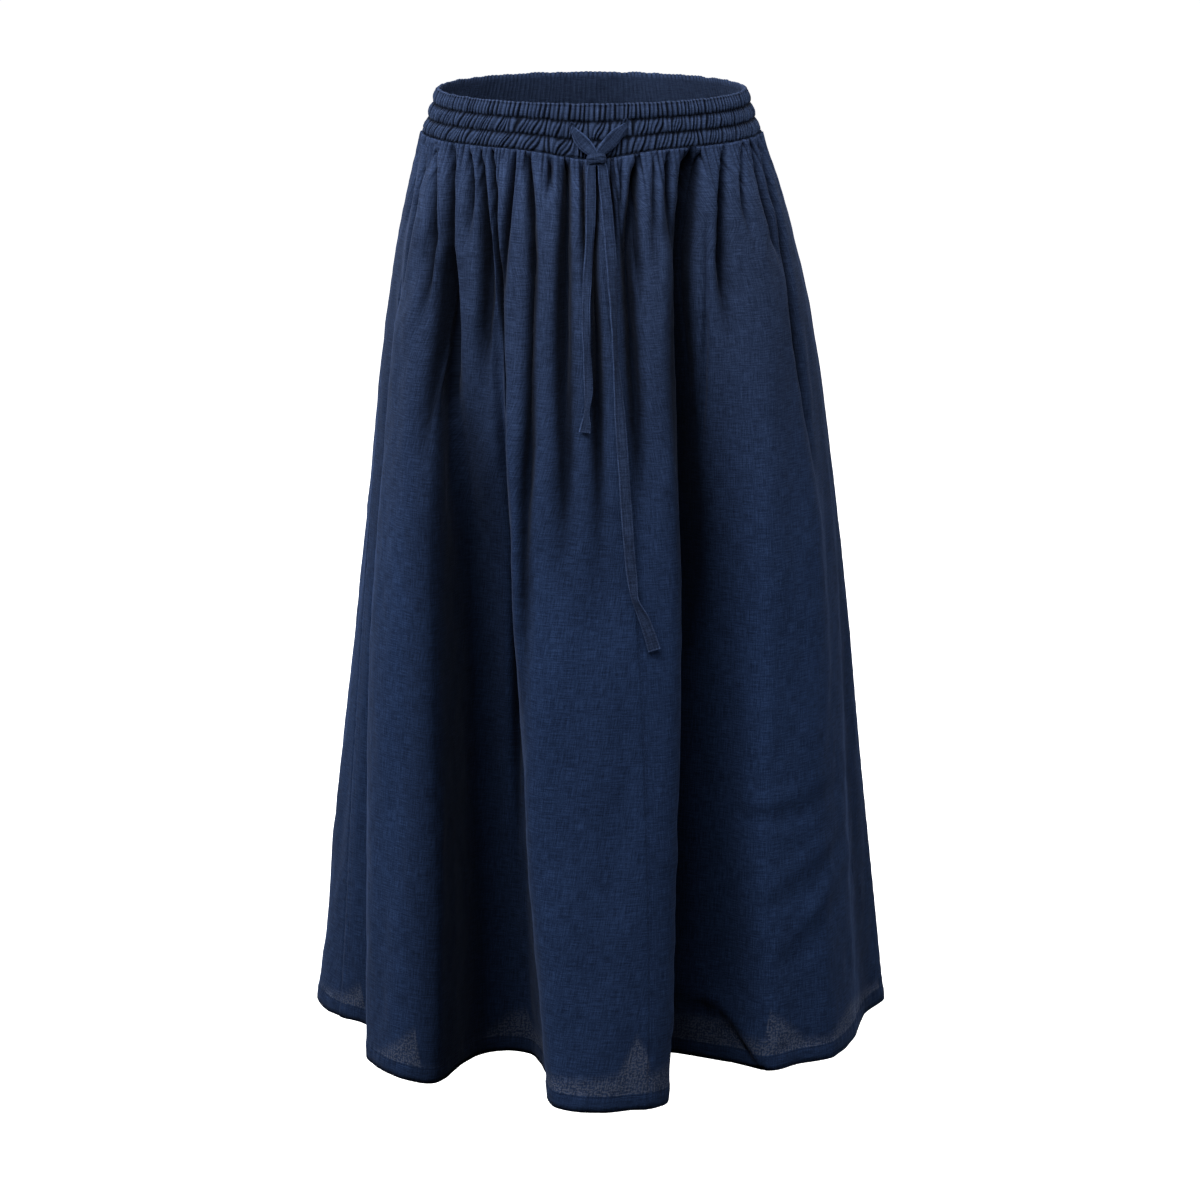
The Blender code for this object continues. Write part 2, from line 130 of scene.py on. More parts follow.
# -------- form, as in the part's source
BAND_HEIGHT = 45 * MM
SEAM = -BAND_HEIGHT / 2
HEM = -800 * MM
HALF_WAY = 0.5
SEAM_GAP = 0.3 * MM
WALL = 1.4 * MM
HEM_STRIP = 14 * MM
HEM_TOP = 1 - HEM_STRIP / (SEAM - HEM)

Section = namedtuple("Section", "z half_width centre_x front back")
OUTLINE = [Section(*row) for row in (
    (22.5, 128.5, 0, 97.5, 97.5),
    (-22.5, 141, 0, 106, 108),
    (-60, 154.5, 2, 117, 123),
    (-110, 168, 4, 127, 139),
    (-175, 180.8, 6.5, 138, 153),
    (-280, 195, 8.5, 152, 169),
    (-420, 212.6, 9.1, 169, 185),
    (-570, 229.6, 8.6, 187, 199),
    (-720, 246.8, 9.3, 207, 212),
    (-820, 259, 9, 222, 222),
)]

# A late fold line is held back at the top and lets go over this share of the drop
LATE_FROM = 0.12
LATE_OVER = 0.30

# How far the lower seam of the band rises, in front and round the rest, millimetres
SEAM_RISE_FRONT = 1.0
SEAM_RISE_ROUND = 7.2
SAG_ANGLE = 16.0
RISE_ENDS = -230 * MM

# The last column is painted shade along each fold line: how much the colour is darkened, 0 on the ridges to 1
# in the folds
Line = namedtuple("Line", "name seam_at mid_at mid_out hem_at hem_out late wear", defaults=(0, 0))
LINES = [
    Line("side_left", -101, -94, 0.4, -94.5, 1),
    Line("left_side_seam", -90, -80.5, -3, -80.6, -19.4),
    Line("side_left_valley", -78, -67.6, -9.5, -66.2, -41, wear=0.55),
    Line("left_edge", -68.5, -60.1, 13.6, -53.5, -5),
    Line("left_face", -60, -46.5, 26.8, -41.4, 4.7),
    Line("left_turn", -53, -37.6, 24.1, -33.9, -4.6, 0.5, 0.85),
    Line("left_floor", -48, -38.8, -40, -33.4, -78, 1, 1),
    Line("left_floor_end", -37, -26, -38, -19.5, -89, 1, 0.62),
    Line("centre_left", -32.5, -22.9, -36, -13.1, -50.6, 0.5, 0.42),
    Line("centre_corner", -29, -17.8, 17.1, -9, 13.1),
    Line("centre", -13, -3.7, 25.4, 0.2, 25, wear=0.21),
    Line("front_seam", 0, 7.6, 23.7, 8, 21.3, wear=0.23),
    Line("right_crest", 17, 14.2, 21.5, 11.2, 10, wear=0.19),
    Line("right_corner", 21, 16.7, 12, 12.8, -4.3, wear=0.25),
    Line("right_floor", 29.5, 21.2, -50, 15.6, -95, wear=1),
    Line("right_floor_end", 40, 31.5, -22, 32.7, -57.5, wear=0.5),
    Line("right_tuck", 52, 38.8, 3.8, 37.8, -24.1),
    Line("right_face", 60, 47.1, 7.5, 45.6, -20.1),
    Line("right_turn", 68, 56.1, 6.9, 53.7, -8.6),
    Line("right_edge", 76, 68.4, 0.4, 66.5, -16.5),
    Line("side_right_valley", 83, 80.1, -4.4, 81.1, -22.2, wear=0.35),
    Line("right_side_seam", 92, 93.1, -0.1, 93.7, -2.4),
    Line("back_valley_1", 106, 107, -8, 108, -24, wear=0.4),
    Line("back_crest_1", 121, 122, 8, 122, 16),
    Line("back_valley_2", 136, 138, -10, 138, -30, wear=0.6),
    Line("back_crest_2", 151, 152, 10, 153, 22),
    Line("back_valley_3", 166, 168, -12, 168, -32, wear=0.6),
    Line("back_crest_3", 182, 183, 10, 184, 20),
    Line("back_valley_4", 198, 198, -12, 199, -34, wear=0.6),
    Line("back_crest_4", 213, 214, 10, 214, 20),
    Line("back_valley_5", 228, 229, -10, 230, -30, wear=0.6),
    Line("back_crest_5", 240, 243, 8, 243, 16),
    Line("back_valley_6", 250, 254.5, -6, 254.5, -20, wear=0.4),
]

Gather = namedtuple("Gather", "seam_at end_at run length deep half_width")
FRONT_GATHERS = [Gather(*row) for row in (
    (-87, -77, 60, 90, 10, 1.6),
    (-75.5, -66, 80, 140, 20, 1.7),
    (-66.8, -66.1, 30, 40, 5, 2.2),
    (-65, -51.6, 110, 170, 16, 1.4),
    (-53.5, -45.2, 170, 290, 21, 1.8),
    (-45.5, -40.5, 60, 90, 13, 1.2),
    (-40.5, -32.6, 130, 220, 18, 1.6),
    (-35, -23.5, 300, 680, 20, 1.2),
    (-26, -26.6, 100, 180, 14, 1.3),
    (-21.8, -17.4, 110, 580, 14, 1.7),
    (-13.3, -13.8, 30, 40, 10, 0.9),
    (-8.4, -8.6, 200, 400, 18, 2.1),
    (-3, -3.2, 90, 130, 11, 1),
    (2.2, -0.8, 110, 390, 16, 1.4),
    (6.8, 5.4, 60, 95, 12, 1.1),
    (10.2, 7.1, 80, 90, 7, 0.8),
    (16, 8.3, 100, 340, 17, 1.9),
    (14.8, 11.6, 90, 150, 11, 1),
    (21.6, 17, 90, 110, 7, 1.1),
    (26.6, 22.5, 70, 100, 12, 1.5),
    (35.6, 22.8, 180, 480, 22, 4.2),
    (40, 28, 130, 300, 9, 1.3),
    (50.5, 38, 120, 180, 15, 1.7),
    (62, 51, 60, 90, 9, 1.2),
    (68.5, 62.5, 60, 110, 20, 1.7),
    (75.5, 70, 50, 90, 15, 1.4),
    (79.5, 62.5, 200, 320, 17, 2),
)]
BACK_GATHERS = 20
BACK_GATHER_FROM = 90.0
BACK_GATHER_TO = 270.0


def curve(knots, values, at):
    """Smooth curve through the values at the knots, one knot spare at each end."""
    knots, values, at = [np.asarray(given, float) for given in (knots, values, at)]
    i = np.clip(np.searchsorted(knots, at, side="right") - 1, 1, len(knots) - 3)
    before, left, right, after = knots[i - 1], knots[i], knots[i + 1], knots[i + 2]
    a, b, c, d = values[i - 1], values[i], values[i + 1], values[i + 2]
    span = right - left
    t = (at - left) / span
    slope_left = (c - a) / (right - before) * span
    slope_right = (d - b) / (after - left) * span
    rise = 3 * t ** 2 - 2 * t ** 3
    return (b + (c - b) * rise + (t ** 3 - 2 * t ** 2 + t) * slope_left
            + (t ** 3 - t ** 2) * slope_right)


def padded(values):
    return [2 * values[0] - values[1]] + list(values) + [2 * values[-1] - values[-2]]


def outline(z):
    """Half width, centre, front depth and back depth of the smooth form at a height."""
    heights = padded([-row.z * MM for row in OUTLINE])
    found = []
    for name in ("half_width", "centre_x", "front", "back"):
        values = padded([getattr(row, name) * MM for row in OUTLINE])
        found.append(curve(heights, values, -np.asarray(z, float)))
    return found


def ease(t):
    t = np.clip(t, 0, 1)
    return t * t * (3 - 2 * t)


def rise(angle, z):
    """How far the lower seam's rise lifts a place: all of it at the seam, none at the rim."""
    apart = (angle + TURN / 2) % TURN - TURN / 2
    full = (SEAM_RISE_FRONT + SEAM_RISE_ROUND * (1 - np.exp(-(apart / SAG_ANGLE) ** 2))) * MM
    above = np.clip((BAND_HEIGHT / 2 - z) / BAND_HEIGHT, 0, 1)
    below = ease((z - RISE_ENDS) / (SEAM - RISE_ENDS))
    return full * np.where(z > SEAM, above, below)


def around(angle, z, out):
    """Points round the smooth form, moved out along its level normal."""
    turn = np.radians(angle)
    half_width, centre, front, back = outline(z)
    depth = np.where(np.cos(turn) > 0, front, back)
    x = centre + half_width * np.sin(turn)
    y = -depth * np.cos(turn)
    across = np.sin(turn) / half_width
    along = -np.cos(turn) / depth
    size = np.hypot(across, along)
    return np.stack([x + across / size * out, y + along / size * out, z + 0 * x + rise(angle, z)], -1)


def table_of_lines():
    seam_at, mid_at, mid_out, hem_at, hem_out, late = np.array([row[1:7] for row in LINES], float).T
    return seam_at, mid_at, mid_out * MM, hem_at, hem_out * MM, late


def line_knots():
    """Each fold line's share of the girth, from the lower half."""
    mid_at, mid_out, hem_at, hem_out = table_of_lines()[1:5]
    mid = SEAM + (HEM - SEAM) * HALF_WAY
    steps = 0
    for angle, out, z in ((mid_at, mid_out, mid), (hem_at, hem_out, HEM)):
        point = around(angle, z, out)
        ring = np.vstack([point, point[:1]])
        steps = steps + np.linalg.norm(np.diff(ring, axis=0), axis=1)
    knots = np.concatenate([[0], np.cumsum(steps)])
    return knots / knots[-1]


KNOTS = line_knots()
PLACE = {row.name: knot for row, knot in zip(LINES, KNOTS)}


def along_lines(place):
    """The six fold line values at places round the cloth."""
    laps = np.floor(place)
    within = place - laps
    knots = np.concatenate([KNOTS[-4:-1] - 1, KNOTS, KNOTS[1:4] + 1])
    found = []
    for turns, values in zip((TURN, TURN, 0, TURN, 0, 0), table_of_lines()):
        ring = np.concatenate([values[-3:] - turns, values, values[:1] + turns, values[1:4] + turns])
        found.append(curve(knots, ring, within) + laps * turns)
    return found


def line_fold_shade(place):
    """How much painted shade the cloth takes at places round it, from the fold lines."""
    return np.interp(place % 1.0, KNOTS, [row.wear for row in LINES + LINES[:1]])


def all_gathers():
    rows = list(FRONT_GATHERS)
    pitch = (BACK_GATHER_TO - BACK_GATHER_FROM) / BACK_GATHERS
    for i in range(BACK_GATHERS):
        at = BACK_GATHER_FROM + pitch * (i + 0.5) + 1.6 * math.sin(2.3 * i)
        length = 170 + 70 * math.sin(1.9 * i + 0.6)
        deep = 10.0 + 3.0 * math.sin(2.7 * i + 1.1)
        rows.append(Gather(at, at + 1.2 * math.sin(1.3 * i), length, length, deep, 2.4))
    return rows


GATHERS = all_gathers()
GATHER_EDGE = 1.7


def gather_depth(angle, z):
    """How far the gathers sink the cloth: narrow valleys between rounded ridges."""
    down = SEAM - z
    sunk = 0
    for row in GATHERS:
        share = np.clip(down / (row.length * MM), 0, 1)
        swing = 1 - (1 - np.clip(down / (row.run * MM), 0, 1)) ** 2
        centre = row.seam_at + (row.end_at - row.seam_at) * swing
        apart = (angle - centre + TURN / 2) % TURN - TURN / 2
        width = row.half_width * (0.60 + 1.0 * share)
        profile = np.exp(-(np.abs(apart) / width) ** GATHER_EDGE)
        growth = 0.16 + 0.84 * ease((down + 1 * MM) / (17 * MM))
        fading = 1 - ease((share - 0.3) / 0.7)
        sunk = sunk + row.deep * MM * profile * growth * fading
    return sunk


def skirt(place, down):
    """Points of the cloth's middle, their angles, and how much painted shade they take in the folds, 0 to 1.
    """
    place, down = np.broadcast_arrays(place, down)
    seam_at, mid_at, mid_out, hem_at, hem_out, late = along_lines(place)
    at_seam = (1 - down) * (1 - 2 * down)
    at_mid = 4 * down * (1 - down)
    at_hem = down * (2 * down - 1)
    angle = seam_at * at_seam + mid_at * at_mid + hem_at * at_hem
    z = SEAM - SEAM_GAP + (HEM - SEAM + SEAM_GAP) * down
    held = 1 - np.clip(late, 0, 1) * (1 - ease((down - LATE_FROM) / LATE_OVER))
    fold = (mid_out * at_mid + hem_out * at_hem) * held
    sunk = gather_depth(angle, z)
    out = fold - sunk + 1.2 * MM * (1 - ease(down / 0.04))
    # painted shade: darker in the gathers' valleys and along the shaded fold lines
    deep = np.clip(sunk / (8.5 * MM), 0, 1) ** 1.4 + line_fold_shade(place) * ease((down - 0.12) / 0.30)
    return around(angle, z, out), angle, np.clip(deep, 0, 1)


# -------- fine relief
RIBS = 208
RIB_WANDER = 2.6
RIB_WAVES = 9
ROUND_WAVES = 8


def rib_phase(angle, seed):
    """Phase of the shirring round the waist, uneven like hand-fed gathers."""
    turn = np.radians(angle)
    rng = np.random.default_rng(seed)
    wander = 0
    for _ in range(RIB_WAVES):
        cycles = int(rng.integers(3, 46))
        shift = rng.uniform(0, math.tau)
        wander = wander + np.sin(cycles * turn + shift) * rng.uniform(0.4, 1.0) / (1 + cycles / 16)
    return RIBS * turn + RIB_WANDER * wander


def rib_shape(phase):
    """Rounded ridge with a narrow valley, from -1 to 1."""
    return 2 * np.abs(np.cos(phase / 2)) ** 0.85 - 1


def rib_shade(phase, narrow=1.5):
    """Shade down in the narrow valleys between the ribs, 0 to 1."""
    return (1 - np.abs(np.cos(phase / 2))) ** narrow


def round_noise(angle, seed, low, high):
    """Smooth noise that closes round the waist, about -1 to 1."""
    turn = np.radians(angle)
    rng = np.random.default_rng(seed)
    total = 0
    for _ in range(ROUND_WAVES):
        total = total + np.sin(int(rng.integers(low, high)) * turn + rng.uniform(0, math.tau))
    return total / math.sqrt(ROUND_WAVES / 2)


def waves(x, z, seed, shortest, longest, count, stretch=1.0):
    """Plane waves over the cloth, about -1 to 1; stretch above 1 draws them out down it."""
    rng = np.random.default_rng(seed)
    total = 0
    for _ in range(count):
        turn = rng.uniform(0, math.pi)
        size = math.exp(rng.uniform(math.log(shortest), math.log(longest)))
        shift = rng.uniform(0, math.tau)
        total = total + np.sin(math.tau * (x * math.cos(turn) + z / stretch * math.sin(turn)) / size + shift)
    return total / math.sqrt(count / 2)


# Creases seen on the front, in the plane of the photograph, millimetres: start,
# middle and end, half width and height. A negative height is a valley.
Crease = namedtuple("Crease", "x0 z0 x1 z1 x2 z2 wide high")
CREASES = [Crease(*row) for row in (
    (126, -548, 152, -560, 226, -540, 4, 2.1),
    (120, -566, 158, -578, 222, -560, 5, -1.9),
    (136, -640, 176, -622, 220, -592, 5, 2.1),
    (140, -660, 184, -640, 224, -606, 6, -2.1),
    (154, -694, 190, -662, 228, -622, 5, 2.2),
    (160, -716, 196, -684, 234, -650, 7, -2),
    (-118, -86, -132, -118, -158, -176, 6, 2.4),
    (-128, -84, -144, -116, -172, -168, 7, -2.2),
    (-126, -520, -129, -640, -131, -796, 5, 2.4),
    (-166, -620, -168, -700, -172, -790, 9, 1.5),
    (-40, -330, -52, -380, -56, -430, 6, -1.5),
    (-30, -420, -38, -480, -40, -560, 8, 1.2),
    (20, -300, 14, -360, 16, -420, 12, -1.8),
    (40, -250, 34, -310, 36, -380, 10, -1.5),
    (60, -470, 66, -520, 62, -560, 12, 1.2),
    (95, -72, 94, -160, 92, -262, 3, -6),
    (-108, -100, -114, -200, -113, -330, 10, -5.5),
    (44, -560, 60, -585, 66, -600, 9, 1.5),
    (-20, -640, 10, -650, 40, -645, 14, 1),
    (-30, -700, -10, -712, 20, -706, 12, 0.9),
)]
# The sharp tuck that the hem is pinched into on the right, as places (x, z)
TUCK = [(86, -745), (98, -746), (112, -752), (126, -766), (138, -782), (147, -796)]
TUCK_HIGH = 5.0
TUCK_REACH = 26.0
TUCK_EDGE = 2.5
# Width and strength of the painted shadow along the tuck's fold
TUCK_LINE = 2.4
TUCK_SHADE = 0.75
CREASE_POINTS = 9
# The creases lie on the cloth that is further forward than this
FRONT_ONLY = -40 * MM

# How far the light reaches above the hem's stitching along the front, as (x, reach), millimetres
GLOW = [
    (-240, 8), (-222, 12), (-204, 26), (-200, 2), (-186, 2), (-150, 38),
    (-145, 3), (-98, 4), (-70, 26), (-56, 30), (-50, 16), (0, 18),
    (22, 22), (38, 54), (46, 40), (50, 20), (72, 26), (118, 30),
    (128, 18), (148, 18), (152, 44), (164, 34), (184, 12), (206, 10),
    (226, 26), (240, 12),
]
GLOW_BACK = 18.0


def glow_reach(x, y, angle):
    """How far the light reaches above the hem's stitching."""
    front = np.interp(x / MM, *np.array(GLOW).T)
    back = GLOW_BACK * (1 + 0.6 * round_noise(angle, 95, 5, 22))
    return np.where(y < 0, front, back) * MM


def near_path(x, z, path):
    """Distance to a path of points, share along it, and side (+ above, - below)."""
    best = np.full(x.shape, 1e9)
    share = np.zeros(x.shape)
    side = np.zeros(x.shape)
    count = len(path) - 1
    for i in range(count):
        ax, az = path[i]
        bx, bz = path[i + 1]
        dx, dz = bx - ax, bz - az
        t = np.clip(((x - ax) * dx + (z - az) * dz) / (dx * dx + dz * dz), 0, 1)
        gap_x, gap_z = x - ax - dx * t, z - az - dz * t
        gap = np.hypot(gap_x, gap_z)
        closer = gap < best
        best = np.where(closer, gap, best)
        share = np.where(closer, (i + t) / count, share)
        side = np.where(closer, np.sign(dx * gap_z - dz * gap_x), side)
    return best, share, side


def through(start, middle, stop, t):
    """A bend from start to stop that passes middle half way."""
    return start * (1 - t) * (1 - 2 * t) + middle * 4 * t * (1 - t) + stop * t * (2 * t - 1)


def crease_height(x, y, z):
    """Height of the creases at points of the front, and the shade under the tuck."""
    xs, zs = x / MM, z / MM
    total = np.zeros(x.shape)
    steps = np.linspace(0, 1, CREASE_POINTS)
    for row in CREASES:
        path = list(zip(through(row.x0, row.x1, row.x2, steps), through(row.z0, row.z1, row.z2, steps)))
        gap, share, _ = near_path(xs, zs, path)
        ends = np.sin(np.pi * share) ** 0.6
        total = total + row.high * np.exp(-(gap / row.wide) ** 2) * ends
    gap, share, side = near_path(xs, zs, TUCK)
    above = np.exp(-(gap / TUCK_REACH) ** 1.2)
    below = np.exp(-(gap / TUCK_EDGE) ** 2)
    total = total + TUCK_HIGH * np.where(side > 0, above, below) * np.sin(np.pi * (0.12 + 0.8 * share)) ** 0.7
    shade = TUCK_SHADE * np.exp(-((gap + side) / TUCK_LINE) ** 2)
    shade = shade * np.sin(np.pi * (0.1 + 0.85 * share)) ** 0.5
    in_front = y < FRONT_ONLY
    return total * MM * in_front, shade * in_front


def unit(vectors):
    return vectors / np.linalg.norm(vectors, axis=-1, keepdims=True)


def grid_normals(points):
    """Normals of a grid of points: first axis to the viewer's right round the front, second down."""
    sideways = np.gradient(points, axis=0)
    downwards = np.gradient(points, axis=1)
    return unit(np.cross(downwards, sideways))


# -------- materials
NAVY = (0.0200, 0.0345, 0.0820)
NAVY_DEEP = (0.0105, 0.0185, 0.0460)
# painted light: the pale colour of light showing through the single layer above the hem
LIGHT_THROUGH = (0.125, 0.122, 0.156)
# Tints: warmer and greyer for the gathered top, the band, the ties and the eyelets, bluer for the hang below
WARM_TINT = (1.12, 1.06, 0.98)
BAND_WARM_TINT = (1.13, 1.04, 0.92)
BLUE_TINT = (0.88, 1.03, 1.11)

# Noise in the cloth: its scale across and down, its detail and its roughness
Grain = namedtuple("Grain", "across down detail rough")
WARP = Grain(1150, 70, 2, 0.55)
WEFT = Grain(75, 1150, 2, 0.55)
GRIT = Grain(900, 900, 1, 0.55)
CLOUD = Grain(11, 7, 3, 0.6)
DOTS = Grain(640, 560, 1, 0.55)
# How strongly each noise lightens and darkens the cloth
SLUB_TONE = 1.18
GRIT_TONE = 0.7
CLOUD_TONE = 0.38

# Painted shade and highlight: the colour is scaled up on the ridges and down in the folds, by the
# painted shade map: its scale on a ridge, what a deep fold takes from that, and the least that is left
Fade = namedtuple("Fade", "ridge loss least")
PANEL_SHADING = Fade(1.10, 0.88, 0.12)
BAND_SHADING = Fade(2.02, 3.1, 0.22)

# Rows of stitches: how long one is, how dark its thread and how far it sinks
Sewing = namedtuple("Sewing", "pitch shade sink")
HEM_SEWING = Sewing(2.6 * MM, 0.45, 1.6)
SEAM_SEWING = Sewing(2.6 * MM, 0.55, 1.8)
BAND_SEWING = Sewing(3.0 * MM, 0.6, 1.5)
THREAD = 0.5 * MM

DROP = SEAM - HEM
V_HEM_TOP = DROP * HEM_TOP
HEM_LINE = V_HEM_TOP + 1.6 * MM
BAND_PINCH = (15 * MM, 30 * MM, 44 * MM)
# Painted light through the single layer: its share of the colour, and over which height it sets in
LIGHT_THROUGH_SHARE = 0.66
LIGHT_THROUGH_FROM, LIGHT_THROUGH_FULL = -2 * MM, 12 * MM
# Painted light on the top: how far down the brightening of the panels' top reaches and its strength, and the
# drop over which the tint changes
LIT_TOP_REACH = 0.085
LIT_TOP_GAIN = 0.38
TINT_FROM, TINT_TO = 0.05, 0.42


class Nodes:
    """One shader in the making, with its colour and height so far."""

    def __init__(self, name):
        self.material = bpy.data.materials.new(name)
        self.material.use_nodes = True
        self.tree = self.material.node_tree
        self.shader = self.tree.nodes["Principled BSDF"]

    def put(self, value, socket):
        """A link where the value is an output, or else a constant."""
        if isinstance(value, bpy.types.NodeSocket):
            self.tree.links.new(value, socket)
        elif socket.type == "RGBA":
            socket.default_value = value + (1.0,)
        else:
            socket.default_value = value

    def set(self, name, value):
        self.put(value, self.shader.inputs[name])

    def node(self, kind, inputs, **settings):
        made = self.tree.nodes.new("ShaderNode" + kind)
        for key, value in settings.items():
            setattr(made, key, value)
        for key, value in inputs.items():
            self.put(value, made.inputs[key])
        return made

    def math(self, operation, a, b=0.0, c=0.0):
        return self.node("Math", {0: a, 1: b, 2: c}, operation=operation).outputs[0]

    def times(self, a, b):
        return self.math("MULTIPLY", a, b)

    def less(self, a, b):
        return self.math("SUBTRACT", a, b)

    def sloped(self, value, slope, start):
        return self.math("MULTIPLY_ADD", value, slope, start)

    def uv(self, name):
        named = self.node("UVMap", {}, uv_map=name)
        split = self.node("SeparateXYZ", {0: named.outputs[0]})
        return split.outputs[0], split.outputs[1]

    def noise(self, across, down, grain):
        scaled = {0: self.times(across, grain.across), 1: self.times(down, grain.down)}
        at = self.node("CombineXYZ", scaled)
        inputs = {"Vector": at.outputs[0], "Scale": 1.0, "Detail": grain.detail, "Roughness": grain.rough}
        return self.node("TexNoise", inputs, noise_dimensions="2D").outputs[0]

    def ramp(self, value, low, high):
        made = self.node("MapRange", {0: value, 1: low, 2: high}, interpolation_type="SMOOTHSTEP")
        return made.outputs[0]

    def blend(self, share, a, b):
        return self.node("Mix", {0: share, 6: a, 7: b}, data_type="RGBA").outputs[2]

    def dim(self, amount):
        made = self.node("VectorMath", {0: self.colour, 3: amount}, operation="SCALE")
        self.colour = made.outputs[0]

    def tint(self, colour):
        made = self.node("VectorMath", {0: self.colour, 1: colour}, operation="MULTIPLY")
        self.colour = made.outputs[0]

    def sew(self, distance, along, sewing):
        """Dashes of thread along a line at distance 0, darker than the cloth and sunk into it."""
        off_line = self.ramp(self.math("ABSOLUTE", distance), THREAD * 0.5, THREAD * 1.3)
        beat = self.less(self.math("FRACT", self.math("DIVIDE", along, sewing.pitch)), 0.5)
        dash = self.ramp(self.math("ABSOLUTE", beat), 0.42, 0.30)
        sewn = self.times(self.less(1.0, off_line), dash)
        self.colour = self.blend(self.times(sewn, sewing.shade), self.colour, NAVY_DEEP)
        self.height = self.sloped(sewn, -sewing.sink, self.height)


def weave(nodes, across, down, tone, slub):
    """Warp and weft slubs, grit and clouds of fading in the colour and the height."""
    warp, weft, grit, cloud = [nodes.noise(across, down, grain) for grain in (WARP, WEFT, GRIT, CLOUD)]
    threads = nodes.math("ADD", nodes.less(warp, 0.5), nodes.less(weft, 0.5))
    level = nodes.sloped(threads, SLUB_TONE * slub, 1.0)
    level = nodes.sloped(nodes.less(grit, 0.5), GRIT_TONE, level)
    level = nodes.sloped(nodes.less(cloud, 0.5), CLOUD_TONE, level)
    level = nodes.times(level, tone)
    nodes.colour = nodes.blend(nodes.ramp(level, 0.45, 1.6), NAVY_DEEP, NAVY)
    nodes.dim(nodes.sloped(level, 0.55, 0.50))
    nodes.height = nodes.sloped(grit, 0.7, threads)
    return threads, grit


def hem_look(nodes, across, down, threads):
    """The doubled hem, its stitching and the uneven light through the single layer above it."""
    strip = nodes.ramp(down, V_HEM_TOP - 0.4 * MM, V_HEM_TOP + 0.4 * MM)
    reach = nodes.less(nodes.uv("Wear")[1], V_HEM_TOP)
    light = nodes.ramp(nodes.math("ADD", reach, down), LIGHT_THROUGH_FROM, LIGHT_THROUGH_FULL)
    light = nodes.times(light, nodes.less(1.0, strip))
    speck = nodes.sloped(threads, 0.5, nodes.noise(across, down, DOTS))
    light = nodes.times(light, nodes.sloped(nodes.ramp(speck, 0.42, 0.64), 0.75, 0.10))
    nodes.colour = nodes.blend(nodes.times(light, LIGHT_THROUGH_SHARE), nodes.colour, LIGHT_THROUGH)
    nodes.dim(nodes.sloped(strip, -0.14, 1.0))
    nodes.sew(nodes.less(down, HEM_LINE), across, HEM_SEWING)


def linen(name, tone=1.0, hem=False, seams=(), band=False, slub=1.0, edge_highlights=False):
    """Matt navy linen with slubs, faded patches, its own seams and hem, and painted shade and highlights."""
    nodes = Nodes(name)
    across, down = nodes.uv("Cloth")
    threads, grit = weave(nodes, across, down, tone, slub)
    if hem:
        hem_look(nodes, across, down, threads)
    for which, offset in seams:
        start, stop = nodes.uv("Edge")
        nodes.sew(nodes.less(start if which == "start" else stop, offset * MM), down, SEAM_SEWING)
    # painted highlight: the colour is brightened along the tie's two edges and dimmed in its middle
    if edge_highlights:
        inside = nodes.ramp(nodes.math("MINIMUM", *nodes.uv("Edge")), 0.2 * MM, 1.3 * MM)
        nodes.dim(nodes.sloped(nodes.less(1.0, inside), 0.70, 0.84))
    if band:
        for line in BAND_PINCH:
            nodes.sew(nodes.less(down, line), across, BAND_SEWING)
    # painted shade in the folds and between the ribs, and painted highlight on the ridges and rib crests
    if hem or band:
        shading = BAND_SHADING if band else PANEL_SHADING
        left = nodes.sloped(nodes.uv("Wear")[0], -shading.loss, shading.ridge)
        nodes.dim(nodes.math("MAXIMUM", left, shading.least))
    # painted highlight: the colour is brightened where the cloth turns away from the view, standing in for
    # loose fibres catching the light
    away = nodes.node("LayerWeight", {"Blend": 0.5})
    nodes.dim(nodes.sloped(nodes.ramp(away.outputs["Facing"], 0.70, 1.0), 0.9, 1.0))
    if hem:
        # painted light: the panels' top is brightened towards the seam
        top = nodes.less(1.0, nodes.ramp(down, 0.0, LIT_TOP_REACH))
        nodes.dim(nodes.sloped(top, LIT_TOP_GAIN, 1.0))
        nodes.tint(nodes.blend(nodes.ramp(down, TINT_FROM, TINT_TO), WARM_TINT, BLUE_TINT))
    else:
        nodes.tint(BAND_WARM_TINT if band else WARM_TINT)
    bump = nodes.node("Bump", {"Height": nodes.height, "Strength": 0.55, "Distance": 0.35 * MM})
    nodes.set("Base Color", nodes.colour)
    nodes.set("Normal", bump.outputs[0])
    nodes.set("Roughness", nodes.sloped(grit, 0.16, 0.74))
    nodes.set("Specular IOR Level", 0.03)
    nodes.set("Sheen Weight", 0.05)
    nodes.set("Sheen Roughness", 0.45)
    nodes.set("Sheen Tint", (0.62, 0.72, 1.0))
    return nodes.material


# -------- pieces
def add_mesh(name, points, faces, material, uvs=None):
    mesh = bpy.data.meshes.new(name)
    points = np.asarray(points, np.float32).ravel()
    mesh.vertices.add(points.size // 3)
    mesh.vertices.foreach_set("co", points)
    faces = np.asarray(faces, np.int32)
    mesh.loops.add(faces.size)
    mesh.loops.foreach_set("vertex_index", faces.ravel())
    mesh.polygons.add(len(faces))
    mesh.polygons.foreach_set("loop_start", np.arange(0, faces.size, faces.shape[1], dtype=np.int32))
    mesh.update(calc_edges=True)
    mesh.polygons.foreach_set("use_smooth", np.ones(len(faces), bool))
    for layer_name, values in (uvs or {}).items():
        layer = mesh.uv_layers.new(name=layer_name)
        layer.data.foreach_set("uv", np.asarray(values, np.float32)[faces.ravel()].ravel())
    mesh.materials.append(material)
    mesh.validate()
    return add_object(name, mesh)


def uv_grid(u, v):
    """Two coordinates, each spread over the grid, as one row a point."""
    return np.stack(np.broadcast_arrays(u, v), -1).reshape(-1, 2)


